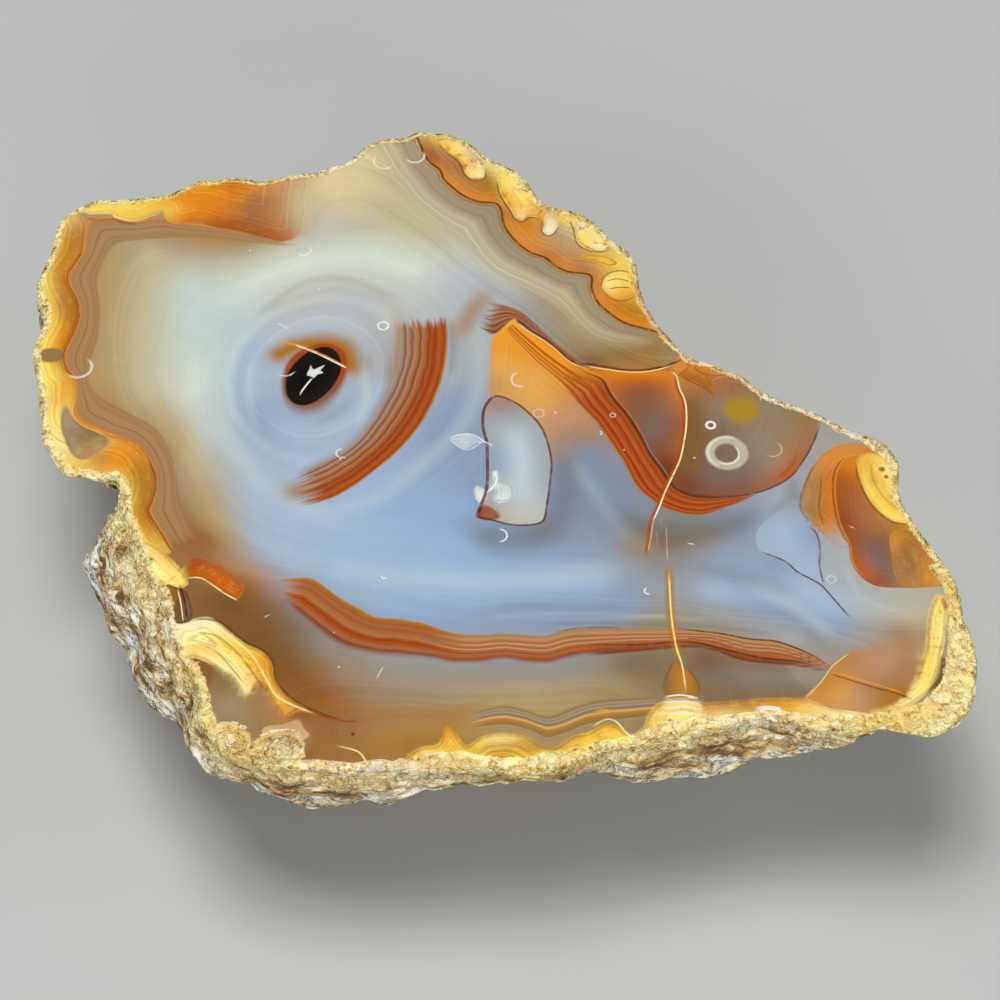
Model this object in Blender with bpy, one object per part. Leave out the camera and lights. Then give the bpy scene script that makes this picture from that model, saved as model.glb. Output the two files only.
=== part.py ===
"""A Brazilian agate: one end of a nodule, sawn flat, polished on the cut and rough everywhere else.

Lengths are in metres. The polished face is level and looks up. The origin is the middle of the small
natural flat that the stone rests on, below the middle of the polished face.
"""
import math
from collections import namedtuple

import bmesh
import bpy
from mathutils import Matrix, Vector, noise

MM = 0.001

# Driving dimensions
THICKNESS = 26.5 * MM
ARRIS_WIDTH = 0.45 * MM
ARRIS_DEPTH = 0.5 * MM
REST_FLAT_RADII = (15.0 * MM, 12.5 * MM)

# How finely the solid is faceted
EDGE_SPACING = 2.2 * MM
WALL_LEVELS = (0.16, 0.4, 0.7, 1.0)
UNDERSIDE_LEVELS = 12

# Outline of the cut, in millimetres from the origin, seen from above and read clockwise
LEFT_EDGE_MM = (
    (-39.2, -2.0), (-40.2, -2.0), (-41.3, -2.8), (-42.8, -2.1), (-44.3, -2.4), (-45.6, -1.4), (-47.2, 1.0),
    (-48.4, 3.4), (-49.0, 7.2), (-49.4, 10.1), (-50.1, 13.3), (-51.0, 16.8), (-50.6, 18.9), (-50.0, 21.3),
    (-50.1, 23.5), (-51.2, 25.6), (-51.4, 28.2), (-50.9, 30.8), (-50.1, 33.4), (-50.0, 36.2), (-49.1, 39.2),
    (-47.3, 40.9), (-44.9, 42.3),
)
TOP_EDGE_MM = (
    (-42.5, 42.2), (-39.4, 42.5), (-36.2, 43.2), (-32.6, 45.5), (-30.6, 45.5), (-28.8, 46.3), (-25.4, 45.4),
    (-23.6, 45.4), (-21.4, 46.6), (-18.2, 46.7), (-14.9, 48.5), (-13.5, 49.2), (-12.4, 51.3), (-9.9, 52.5),
    (-7.4, 52.7), (-5.9, 54.0), (-1.6, 53.6), (0.5, 52.6), (2.1, 51.2), (3.1, 49.5), (5.0, 48.7),
    (8.1, 46.1), (9.5, 43.3), (10.6, 41.6), (11.8, 40.4), (13.2, 40.7), (15.2, 39.7), (17.2, 37.9),
    (18.7, 35.4), (20.7, 33.7), (21.9, 31.8),
)
RIGHT_EDGE_MM = (
    (22.2, 26.4), (23.0, 23.9), (24.3, 21.4), (25.9, 18.7), (27.9, 16.2), (30.1, 15.6), (32.1, 14.3),
    (33.9, 13.5), (35.2, 11.9), (37.9, 9.8), (40.8, 8.6), (43.7, 6.8), (46.0, 5.1), (48.6, 4.2), (50.3, 2.6),
    (51.4, 0.4), (51.2, -2.7), (50.7, -4.4), (51.6, -6.5), (53.0, -9.7), (54.4, -12.5), (55.8, -15.5),
    (56.7, -18.5), (56.8, -22.2), (57.6, -25.0), (57.7, -28.5), (57.1, -32.0), (56.0, -34.9), (54.0, -37.1),
)
BOTTOM_EDGE_MM = (
    (51.4, -38.0), (48.9, -37.4), (46.1, -36.9), (43.0, -37.3), (40.0, -37.0), (37.0, -36.2), (34.0, -35.9),
    (31.0, -36.4), (28.4, -37.2), (25.2, -37.6), (22.6, -37.9), (20.4, -39.0), (17.9, -39.4), (15.4, -39.9),
    (13.4, -41.3), (10.9, -42.3), (7.6, -42.6), (3.8, -42.3), (0.2, -42.3), (-3.6, -42.5), (-7.4, -42.3),
    (-11.2, -42.5), (-15.0, -42.3), (-18.6, -42.1), (-21.6, -41.2), (-24.3, -39.8), (-26.8, -38.0),
)
LOWER_LEFT_EDGE_MM = (
    (-28.2, -35.4), (-28.3, -31.8), (-29.5, -28.9), (-31.0, -26.4), (-31.9, -23.6), (-32.6, -20.6),
    (-33.3, -18.3), (-34.6, -16.6), (-35.4, -14.4), (-36.6, -11.2), (-37.8, -8.0), (-38.5, -4.9),
)
CUT_OUTLINE_MM = LEFT_EDGE_MM + TOP_EDGE_MM + RIGHT_EDGE_MM + BOTTOM_EDGE_MM + LOWER_LEFT_EDGE_MM

# How the rough skin leaves the cut all round: bearing in degrees from +X, how far it swells outwards and
# the depth of that swelling in millimetres, and how full the underside is below it (1 is a cone, 2 is an
# ellipse, and less than 1 is hollowed)
Station = namedtuple("Station", "bearing swell shoulder fullness")
STATIONS = (
    Station(0.0, 0.0, 2.0, 1.4),
    Station(45.0, 0.0, 3.5, 1.6),
    Station(90.0, 0.0, 4.5, 1.7),
    Station(135.0, 0.0, 4.5, 1.7),
    Station(158.0, 0.0, 3.0, 1.4),
    Station(174.0, 0.0, 1.2, 0.9),
    Station(183.3, 0.0, 1.0, 0.85),
    Station(187.5, 3.4, 7.5, 1.5),
    Station(192.0, 6.2, 8.0, 1.7),
    Station(204.0, 6.4, 8.0, 1.6),
    Station(211.0, 5.2, 8.0, 1.5),
    Station(216.0, 4.6, 8.0, 1.4),
    Station(222.0, 3.2, 8.0, 1.3),
    Station(228.0, 2.8, 6.5, 1.15),
    Station(233.0, 1.3, 4.8, 1.1),
    Station(241.0, 0.4, 3.8, 1.05),
    Station(250.0, 1.6, 6.2, 1.05),
    Station(259.0, 1.2, 5.4, 1.05),
    Station(267.0, 0.1, 3.0, 1.0),
    Station(281.0, 0.0, 2.4, 1.0),
    Station(288.0, 0.4, 3.6, 1.0),
    Station(296.0, 1.6, 5.4, 1.05),
    Station(303.0, 1.7, 6.0, 1.05),
    Station(311.0, 1.4, 6.0, 1.0),
    Station(316.0, 1.0, 4.2, 1.0),
    Station(321.0, 0.1, 1.6, 1.0),
    Station(330.0, 0.0, 1.2, 1.1),
)

# Relief of the weathered skin: broad lumps, the finer crust on them, and the ledges of its layers
LUMP_SIZE, LUMP_HEIGHT = 12.0 * MM, 1.3 * MM
CRUST_SIZE, CRUST_HEIGHT = 5.0 * MM, 0.9 * MM
LEDGE_PITCH, LEDGE_HEIGHT = 4.4 * MM, 0.4 * MM
RELIEF_SEED = Vector((3.7, 1.9, 8.3))
WALL_RELIEF_LIMIT = 0.25 * MM

# Chips knocked out of the edge, and the hollow under the notch: centre, half sizes and depth below the
# cut in millimetres, and turn in degrees
Chip = namedtuple("Chip", "name x y depth rx ry rz turn")
CHIPS = (
    Chip("facet_chip", -19.0, -39.6, -2.6, 4.4, 3.1, 3.4, 20.0),
    Chip("edge_flake", -24.3, -38.6, -1.2, 2.6, 2.2, 2.0, -35.0),
    Chip("notch_hollow", -39.9, -3.4, 2.9, 1.5, 1.8, 1.9, 0.0),
    Chip("corner_pit", 49.4, 2.8, -0.1, 1.5, 0.8, 0.8, -35.0),
)

SKIN_COLOUR = (0.42, 0.33, 0.20, 1.0)
POLISH_COLOUR = (0.36, 0.38, 0.40, 1.0)


def clear_scene():
    """Remove whatever objects the file holds."""
    for leftover in list(bpy.data.objects):
        bpy.data.objects.remove(leftover)


def smooth_loop(points, spacing):
    """Points at an even spacing along the closed Catmull-Rom curve through the given ones."""
    fine = []
    count = len(points)
    for i in range(count):
        a, b, c, d = (Vector(points[(i + k) % count]) for k in (-1, 0, 1, 2))
        for step in range(8):
            t = step / 8
            fine.append(0.5 * ((2 * b) + (c - a) * t + (2 * a - 5 * b + 4 * c - d) * t * t
                               + (3 * b - a - 3 * c + d) * t ** 3))
    lengths = [(fine[(i + 1) % len(fine)] - fine[i]).length for i in range(len(fine))]
    total = sum(lengths)
    wanted = round(total / spacing)
    loop, i, passed = [], 0, 0.0
    for k in range(wanted):
        target = total * k / wanted
        while passed + lengths[i] < target:
            passed += lengths[i]
            i += 1
        along = (target - passed) / lengths[i]
        loop.append(fine[i].lerp(fine[(i + 1) % len(fine)], along))
    return loop


def outward_normals(loop, reach):
    """Outward directions of a clockwise loop, averaged over a few neighbours on each side."""
    normals = []
    count = len(loop)
    for i in range(count):
        along = loop[(i + reach) % count] - loop[(i - reach) % count]
        normals.append(Vector((-along.y, along.x)).normalized())
    return normals


def skin_at(point):
    """Swell, shoulder depth and fullness of the skin beside a point, eased between the stations."""
    bearing = math.degrees(math.atan2(point.y, point.x)) % 360.0
    following = next((k for k, s in enumerate(STATIONS) if s.bearing > bearing), 0)
    before, after = STATIONS[following - 1], STATIONS[following]
    span = (after.bearing - before.bearing) % 360.0
    t = ((bearing - before.bearing) % 360.0) / span
    t = t * t * (3 - 2 * t)
    swell = before.swell + (after.swell - before.swell) * t
    shoulder = before.shoulder + (after.shoulder - before.shoulder) * t
    fullness = before.fullness + (after.fullness - before.fullness) * t
    return swell * MM, shoulder * MM, fullness


def rest_point(point):
    """The point of the rest flat's rim that lies in the same direction as a point of the outline."""
    a, b = REST_FLAT_RADII
    angle = math.atan2(point.y / b, point.x / a)
    return Vector((a * math.cos(angle), b * math.sin(angle)))


def relief(place):
    """Height of the weathered skin above its smooth form at a place."""
    lumps = noise.noise(place / LUMP_SIZE + RELIEF_SEED)
    crust = noise.noise(place / CRUST_SIZE - RELIEF_SEED)
    ledges = math.sin(2 * math.pi * (place.z / LEDGE_PITCH + 0.8 * lumps))
    return LUMP_HEIGHT * lumps + CRUST_HEIGHT * crust + LEDGE_HEIGHT * ledges


def polish_rings(loop, normals):
    """The chipped edge of the polished face, and the outline just below it."""
    widths = [ARRIS_WIDTH * (1.0 + 0.6 * noise.noise(Vector((p.x, p.y, 0)) / (3 * MM))) for p in loop]
    inner = [Vector((p.x - n.x * w, p.y - n.y * w, THICKNESS)) for p, n, w in zip(loop, normals, widths)]
    outer = [Vector((p.x, p.y, THICKNESS - ARRIS_DEPTH)) for p in loop]
    return [inner, outer]


def wall_ring(loop, normals, skins, level):
    """A ring of the wall, from the edge at level 0 to the shoulder at level 1."""
    ring = []
    for p, n, (swell, shoulder, _) in zip(loop, normals, skins):
        depth = ARRIS_DEPTH + (shoulder - ARRIS_DEPTH) * level
        out = swell * math.sin(level * math.pi / 2)
        place = Vector((p.x + n.x * out, p.y + n.y * out, THICKNESS - depth))
        place.xy += n * min(relief(place), WALL_RELIEF_LIMIT + swell * 0.2) * level
        ring.append(place)
    return ring


def underside_ring(loop, normals, skins, turn):
    """A ring of the smooth underside, from the shoulder at turn 0 to the rest flat at a right angle."""
    ring = []
    for p, n, (swell, shoulder, fullness) in zip(loop, normals, skins):
        inward = 1.0 - math.cos(turn) ** (2 / fullness)
        down = math.sin(turn) ** (2 / fullness)
        flat = (p + n * swell).lerp(rest_point(p), inward)
        ring.append(Vector((flat.x, flat.y, (THICKNESS - shoulder) * (1.0 - down))))
    return ring


def eased(ring, passes):
    """The ring with its notches and scallops drawn towards its neighbours' middle."""
    for _ in range(passes):
        ring = [(ring[i - 1] + ring[i] * 2 + ring[(i + 1) % len(ring)]) / 4 for i in range(len(ring))]
    return ring


def weathered(ring, normals, turn):
    """The ring with the skin's relief, which dies out at the rest flat."""
    rough = []
    for place, n in zip(ring, normals):
        push = Vector((n.x * math.cos(turn), n.y * math.cos(turn), -math.sin(turn)))
        fade = min(1.0, 2.5 * place.z / THICKNESS)
        place = place + push * relief(place) * fade
        place.z = max(place.z, 0.35 * MM)
        rough.append(place)
    return rough


def stone_rings():
    """The stone's rings from the edge of the polish down to the flat that it rests on."""
    loop = [p * MM for p in smooth_loop(CUT_OUTLINE_MM, EDGE_SPACING / MM)]
    normals = outward_normals(loop, reach=2)
    skins = [skin_at(p) for p in loop]
    rings = polish_rings(loop, normals)
    rings += [wall_ring(loop, normals, skins, level) for level in WALL_LEVELS]
    for step in range(1, UNDERSIDE_LEVELS):
        turn = math.radians(90.0 * step / UNDERSIDE_LEVELS)
        ring = eased(underside_ring(loop, normals, skins, turn), passes=4 * (step - 1))
        rings.append(weathered(ring, normals, turn))
    rings.append([Vector((*rest_point(p), 0.0)) for p in loop])
    return rings


def stone_mesh(rings):
    """One closed mesh: the rings joined by extruding each into the next, then both flats filled."""
    form = bmesh.new()
    ring = [form.verts.new(place) for place in rings[0]]
    edges = [form.edges.new((ring[i - 1], ring[i])) for i in range(len(ring))]
    form.faces.new(ring)
    for places in rings[1:]:
        grown = bmesh.ops.extrude_edge_only(form, edges=edges)["geom"]
        fresh = {item for item in grown if isinstance(item, bmesh.types.BMVert)}
        edges = [item for item in grown if isinstance(item, bmesh.types.BMEdge) and fresh.issuperset(item.verts)]
        ring = [next(e.other_vert(v) for e in v.link_edges if e.other_vert(v) in fresh) for v in ring]
        for vert, place in zip(ring, places):
            vert.co = place
    bmesh.ops.contextual_create(form, geom=edges)
    bmesh.ops.recalc_face_normals(form, faces=form.faces)
    return form


def chip_cutter(chip):
    """A faceted ellipsoid that a chip or a hollow is cut with."""
    centre = Vector((chip.x * MM, chip.y * MM, THICKNESS - chip.depth * MM))
    form = bmesh.new()
    bmesh.ops.create_icosphere(form, subdivisions=2, radius=1.0)
    size = Matrix.Diagonal((chip.rx * MM, chip.ry * MM, chip.rz * MM, 1.0))
    turn = Matrix.Rotation(math.radians(chip.turn), 4, "Z")
    bmesh.ops.transform(form, matrix=Matrix.Translation(centre) @ turn @ size, verts=form.verts)
    mesh = bpy.data.meshes.new(chip.name)
    form.to_mesh(mesh)
    form.free()
    cutter = bpy.data.objects.new(chip.name, mesh)
    cutter.hide_render = True
    cutter.display_type = "WIRE"
    bpy.context.collection.objects.link(cutter)
    return cutter


def stone_material(name, colour, roughness):
    """A plain Principled material."""
    material = bpy.data.materials.new(name)
    material.use_nodes = True
    shader = material.node_tree.nodes["Principled BSDF"]
    shader.inputs["Base Color"].default_value = colour
    shader.inputs["Roughness"].default_value = roughness
    shader.inputs["Metallic"].default_value = 0.0
    return material


def build_agate():
    """The whole stone, with its chips and hollow cut by Boolean modifiers."""
    form = stone_mesh(stone_rings())
    mesh = bpy.data.meshes.new("agate")
    mesh.materials.append(stone_material("rough_skin", SKIN_COLOUR, 0.85))
    mesh.materials.append(stone_material("polished_cut", POLISH_COLOUR, 0.08))
    for face in form.faces:
        face.material_index = 1 if face.normal.z > 0.999 else 0
    form.to_mesh(mesh)
    form.free()
    agate = bpy.data.objects.new("agate", mesh)
    bpy.context.collection.objects.link(agate)
    for chip in CHIPS:
        cut = agate.modifiers.new(chip.name, "BOOLEAN")
        cut.operation = "DIFFERENCE"
        cut.solver = "EXACT"
        cut.object = chip_cutter(chip)
    return agate


clear_scene()
build_agate()
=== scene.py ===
"""Polished half of a Brazilian agate, lying level on a pale floor.

The cut is described in millimetres as it lies on the stone, x to the right and y away from the viewer:
washes of colour for the chalcedony, closed patches, striped bands, thin veins, small ring marks and the
crust. The rough skin round it is real relief.
"""

import logging
import math
from dataclasses import dataclass, field
from enum import Enum

import bmesh
import bpy
import numpy as np
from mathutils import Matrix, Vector, noise

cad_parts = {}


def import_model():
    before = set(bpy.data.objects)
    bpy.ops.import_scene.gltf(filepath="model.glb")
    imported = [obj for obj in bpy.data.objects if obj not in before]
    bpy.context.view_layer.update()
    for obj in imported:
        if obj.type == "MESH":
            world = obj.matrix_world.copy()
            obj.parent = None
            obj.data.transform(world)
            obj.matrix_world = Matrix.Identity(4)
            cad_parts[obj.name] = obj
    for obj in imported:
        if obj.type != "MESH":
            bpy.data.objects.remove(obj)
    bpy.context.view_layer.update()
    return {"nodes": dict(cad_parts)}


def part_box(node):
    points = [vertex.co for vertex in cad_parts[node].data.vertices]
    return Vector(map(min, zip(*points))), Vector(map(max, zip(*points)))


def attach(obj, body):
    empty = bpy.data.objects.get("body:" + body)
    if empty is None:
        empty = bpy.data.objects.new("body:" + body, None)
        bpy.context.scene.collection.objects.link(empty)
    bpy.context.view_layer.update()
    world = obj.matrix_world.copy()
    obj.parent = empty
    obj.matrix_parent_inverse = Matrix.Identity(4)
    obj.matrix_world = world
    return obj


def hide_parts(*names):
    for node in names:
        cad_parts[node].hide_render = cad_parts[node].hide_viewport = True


LOG = logging.getLogger("agate")
MM = 0.001
THICKNESS = 26.5
Path = tuple[float, ...]
Socket = bpy.types.NodeSocket


class Tint(Enum):
    """Colours of the stone, as 8-bit sRGB."""

    TAN = (178, 154, 106)
    CREAM = (189, 181, 147)
    CELADON = (194, 209, 206)
    MILK = (212, 222, 212)
    CLOUD = (189, 190, 184)
    PEARL = (179, 187, 195)
    DOVE = (168, 172, 178)
    MIST = (165, 183, 206)
    SKY = (145, 175, 210)
    LAKE = (155, 184, 214)
    DUSK = (137, 157, 186)
    SLATE = (126, 140, 166)
    SMOKE = (122, 124, 122)
    TAUPE = (150, 142, 130)
    BARK = (126, 104, 80)
    UMBER = (118, 80, 36)
    BURNT = (146, 88, 34)
    ROSE = (158, 128, 110)
    KHAKI = (156, 138, 98)
    SAND = (222, 204, 155)
    DRAB = (196, 180, 138)
    FAWN = (166, 126, 84)
    OCHRE = (166, 122, 52)
    AMBER = (234, 150, 34)
    ORANGE = (220, 128, 18)
    EMBER = (198, 98, 8)
    RUST = (182, 92, 40)
    BRICK = (166, 66, 24)
    MAHOGANY = (112, 48, 18)
    GOLD = (236, 188, 66)
    YELLOW = (250, 222, 104)
    STRAW = (251, 240, 168)
    IVORY = (248, 240, 214)
    APRICOT = (226, 166, 84)
    PINK = (184, 142, 114)
    PLUM = (130, 86, 62)
    MUSHROOM = (142, 130, 110)
    MAUVE = (122, 104, 100)
    TOFFEE = (148, 116, 72)
    MUSTARD = (168, 134, 22)
    GLASS = (190, 207, 216)
    FROST = (160, 168, 176)
    BUFF = (204, 166, 120)
    HAY = (164, 147, 119)
    OAT = (181, 172, 144)
    LINEN = (195, 191, 166)
    SIENNA = (164, 84, 30)
    RUSSET = (136, 62, 26)
    CLAY = (164, 102, 66)
    DUSTY = (168, 140, 128)
    COPPER = (184, 92, 38)
    CHESTNUT = (156, 56, 8)
    COCOA = (108, 48, 10)
    HONEY = (214, 136, 52)
    CAMEL = (188, 144, 94)
    TAWNY = (174, 119, 68)
    SYRUP = (166, 112, 28)
    OLIVE = (130, 104, 54)
    FLINT = (108, 106, 104)
    STONE = (160, 144, 118)
    SHADOW = (84, 72, 58)
    SNOW = (238, 242, 242)
    BRONZE = (128, 90, 46)
    WHEAT = (232, 198, 126)
    WINE = (92, 34, 14)
    INK = (52, 38, 28)
    JET = (4, 4, 5)

    def linear(self) -> np.ndarray:
        """Return the colour as linear light."""
        c = np.array(self.value, float) / 255.0
        return np.where(c <= 0.04045, c / 12.92, ((c + 0.055) / 1.055) ** 2.4)

    def rgba(self) -> tuple[float, float, float, float]:
        """Return the linear colour as a node value."""
        r, g, b = self.linear()
        return float(r), float(g), float(b), 1.0


def pairs(path: Path) -> list[tuple[float, float]]:
    """Return the points of a path, in which x and y take turns, in millimetres."""
    return list(zip(path[::2], path[1::2]))


@dataclass(frozen=True)
class Stroke:
    """A stroke on the cut: a path, and one tint or what is met along it in even steps."""

    path: Path
    values: tuple | Tint

    def laid(self, step: float) -> tuple[np.ndarray, np.ndarray]:
        """Return points along the stroke and the value at each.

        Args:
            step: distance between the points, in millimetres.
        """
        p = np.array(pairs(self.path), float)
        run = np.r_[0.0, np.cumsum(np.hypot(*np.diff(p, axis=0).T))]
        at = np.linspace(0.0, run[-1], max(2, int(run[-1] / step) + 1))
        points = np.c_[np.interp(at, run, p[:, 0]), np.interp(at, run, p[:, 1])]
        met = self.values if isinstance(self.values, tuple) else (self.values,)
        rows = np.array([v.linear() if isinstance(v, Tint) else v for v in met], float)
        share = at / max(run[-1], 1e-9) * (len(rows) - 1)
        return points, np.stack([np.interp(share, range(len(rows)), c) for c in rows.T], axis=1)


def smoothstep(value: np.ndarray, low: float, high: float) -> np.ndarray:
    """Rise smoothly from 0 at low to 1 at high."""
    t = np.clip((value - low) / (high - low), 0.0, 1.0)
    return t * t * (3.0 - 2.0 * t)


def curve(points: list[tuple[float, ...]], closed: bool = False, steps: int = 4) -> np.ndarray:
    """Round a path off through its own points; a point given twice keeps its corner.

    Args:
        points: x and y in millimetres, with any further number carried along.
        closed: whether the path runs back to its start.
        steps: pieces that each stretch is cut into.
    """
    p = np.array(points, float)
    count = len(p)
    out = []
    for i in range(count if closed else count - 1):
        ends = [i - 1, i, i + 1, i + 2]
        a, b, c, d = (p[k % count] if closed else p[min(max(k, 0), count - 1)] for k in ends)
        reach = np.hypot(*(c - b)[:2])
        if reach < 1e-6:
            continue
        lead, trail = (c - a) / 2, (d - b) / 2
        lead = lead * min(1.0, reach / max(np.hypot(*lead[:2]), 1e-9))
        trail = trail * min(1.0, reach / max(np.hypot(*trail[:2]), 1e-9))
        for t in np.arange(steps) / steps:
            u = t * t
            v = u * t
            out.append((2 * v - 3 * u + 1) * b + (v - 2 * u + t) * lead
                       + (3 * u - 2 * v) * c + (v - u) * trail)
    if not closed:
        out.append(p[-1])
    return np.array(out)


@dataclass
class Reading:
    """What points see of a curve: distance, side, run along it, and its third number."""

    away: np.ndarray
    side: np.ndarray
    along: np.ndarray
    extra: np.ndarray
    inside: np.ndarray
    length: float = 0.0


def read_curve(line: np.ndarray, x: np.ndarray, y: np.ndarray, closed: bool, reach: float) -> Reading:
    """Measure points against a curve.

    Args:
        line: the curve's points, with or without a third number.
        x: the points' x, in millimetres.
        y: the points' y, in millimetres.
        closed: whether the curve is a loop.
        reach: distance beyond which a point isn't measured.
    """
    away = np.full(x.shape, float(reach))
    side = np.ones(x.shape)
    along = np.zeros(x.shape)
    extra = np.full(x.shape, line[0, 2] if line.shape[1] > 2 else 0.0)
    inside = np.zeros(x.shape, bool)
    low, high = line[:, :2].min(0) - reach, line[:, :2].max(0) + reach
    near = (x > low[0]) & (x < high[0]) & (y > low[1]) & (y < high[1])
    px, py = x[near], y[near]
    best = np.full(px.shape, float(reach) ** 2)
    b_side, b_along, b_extra, b_in = side[near], along[near], extra[near], inside[near]
    lever = np.zeros(px.shape)
    after = np.roll(line, -1, axis=0) if closed else line[1:]
    run = 0.0
    for a, b in zip(line, after):
        dx, dy = b[0] - a[0], b[1] - a[1]
        span = dx * dx + dy * dy
        if span < 1e-12:
            continue
        t = np.clip(((px - a[0]) * dx + (py - a[1]) * dy) / span, 0.0, 1.0)
        gap = (px - a[0] - t * dx) ** 2 + (py - a[1] - t * dy) ** 2
        cross = (dx * (py - a[1]) - dy * (px - a[0])) / math.sqrt(span)
        hit = (gap < best - 1e-9) | ((gap < best + 1e-9) & (np.abs(cross) > lever))
        best = np.where(hit, gap, best)
        lever = np.where(hit, np.abs(cross), lever)
        b_side = np.where(hit, np.sign(cross), b_side)
        b_along = np.where(hit, run + t * math.sqrt(span), b_along)
        if line.shape[1] > 2:
            b_extra = np.where(hit, a[2] + t * (b[2] - a[2]), b_extra)
        if closed and abs(dy) > 1e-12:
            crosses = ((a[1] > py) != (b[1] > py)) & (px < a[0] + (py - a[1]) / dy * dx)
            b_in = b_in ^ crosses
        run += math.sqrt(span)
    away[near], side[near], along[near] = np.sqrt(best), b_side, b_along
    extra[near], inside[near] = b_extra, b_in
    side[side == 0] = 1.0
    return Reading(away, side, along, extra, inside, run)


@dataclass
class Raster:
    """Grid over the cut on which values are spread smoothly between strokes.

    Args:
        left: lowest x, in millimetres.
        low: lowest y, in millimetres.
        columns: cells across, a multiple of 16.
        rows: cells up, a multiple of 16.
        cell: width of a cell.
        rounds: how often cells are averaged at each size.
    """

    left: float = -58.0
    low: float = -48.0
    columns: int = 240
    rows: int = 208
    cell: float = 0.5
    rounds: int = 140

    def centres(self) -> tuple[np.ndarray, np.ndarray]:
        """Return x and y of the cells' middles."""
        xs = self.left + self.cell * (np.arange(self.columns) + 0.5)
        ys = self.low + self.cell * (np.arange(self.rows) + 0.5)
        return np.meshgrid(xs, ys)

    def spread(self, strokes: list[tuple[int, Stroke]], labels: np.ndarray, calm: int = 3) -> np.ndarray:
        """Relax values between strokes until each cell is the mean of its neighbours.

        Args:
            strokes: label of the region that each stroke belongs to, and the stroke.
            labels: region of each cell; values don't pass from one region to the next.
            calm: last rounds, in which the strokes themselves are softened too.
        """
        width = strokes[0][1].laid(1.0)[1].shape[1]
        total = np.zeros((self.rows, self.columns, width))
        count = np.zeros((self.rows, self.columns))
        for label, stroke in strokes:
            points, values = stroke.laid(self.cell / 2)
            i = np.clip(((points[:, 1] - self.low) / self.cell).astype(int), 0, self.rows - 1)
            j = np.clip(((points[:, 0] - self.left) / self.cell).astype(int), 0, self.columns - 1)
            own = labels[i, j] == label
            np.add.at(total, (i[own], j[own]), values[own])
            np.add.at(count, (i[own], j[own]), 1.0)
        field_now = np.full((self.rows // 16, self.columns // 16, width), 0.0)
        field_now += total.sum((0, 1)) / max(count.sum(), 1.0)
        for block in (16, 8, 4, 2, 1):
            shape = (self.rows // block, block, self.columns // block, block)
            amount = count.reshape(shape).sum((1, 3))
            pinned = amount > 0
            fixed = total.reshape(*shape, width).sum((1, 3)) / np.maximum(amount, 1)[..., None]
            if block < 16:
                field_now = field_now.repeat(2, axis=0).repeat(2, axis=1)
            region = labels[block // 2::block, block // 2::block]
            field_now = self._relax(field_now, fixed, pinned[..., None], region, self.rounds)
        loose = np.zeros_like(pinned[..., None])
        return self._relax(field_now, field_now, loose, labels, calm)

    @staticmethod
    def _relax(values: np.ndarray, fixed: np.ndarray, pinned: np.ndarray, region: np.ndarray,
               rounds: int) -> np.ndarray:
        """Average each loose cell with its neighbours in the same region, again and again."""
        east = (region[:, 1:] == region[:, :-1]).astype(float)[..., None]
        north = (region[1:] == region[:-1]).astype(float)[..., None]
        weight = np.full(region.shape + (1,), 1e-6)
        weight[:, :-1] += east
        weight[:, 1:] += east
        weight[:-1] += north
        weight[1:] += north
        for _ in range(rounds):
            blend = values * 1e-6
            blend[:, :-1] += east * values[:, 1:]
            blend[:, 1:] += east * values[:, :-1]
            blend[:-1] += north * values[1:]
            blend[1:] += north * values[:-1]
            values = np.where(pinned, fixed, blend / weight)
        return values

    def sample(self, values: np.ndarray, x: np.ndarray, y: np.ndarray) -> np.ndarray:
        """Read spread values at points, smoothly between cells."""
        u = np.clip((x - self.left) / self.cell - 0.5, 0, self.columns - 1.001)
        v = np.clip((y - self.low) / self.cell - 0.5, 0, self.rows - 1.001)
        j, i = u.astype(int), v.astype(int)
        fu, fv = (u - j)[:, None], (v - i)[:, None]
        low = values[i, j] * (1 - fu) + values[i, j + 1] * fu
        high = values[i + 1, j] * (1 - fu) + values[i + 1, j + 1] * fu
        return low * (1 - fv) + high * fv


@dataclass(frozen=True)
class Patch:
    """A closed field of its own colour, flush with the cut.

    Args:
        edge: points of the outline in millimetres; a third number is the width of the edge's fade there.
        strokes: colours inside.
        stripe: strength of the fine lines that follow the edge.
        mottle: share of golden grain in it.
        fade: width of the edge's fade at the points that give none.
    """

    edge: tuple[tuple[float, ...], ...]
    strokes: tuple[Stroke, ...]
    stripe: float = 0.0
    mottle: float = 0.0
    fade: float = 0.1

    def outline(self) -> np.ndarray:
        """Return the rounded outline with its fade."""
        return curve([(*p, self.fade)[:3] for p in self.edge], True)


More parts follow.
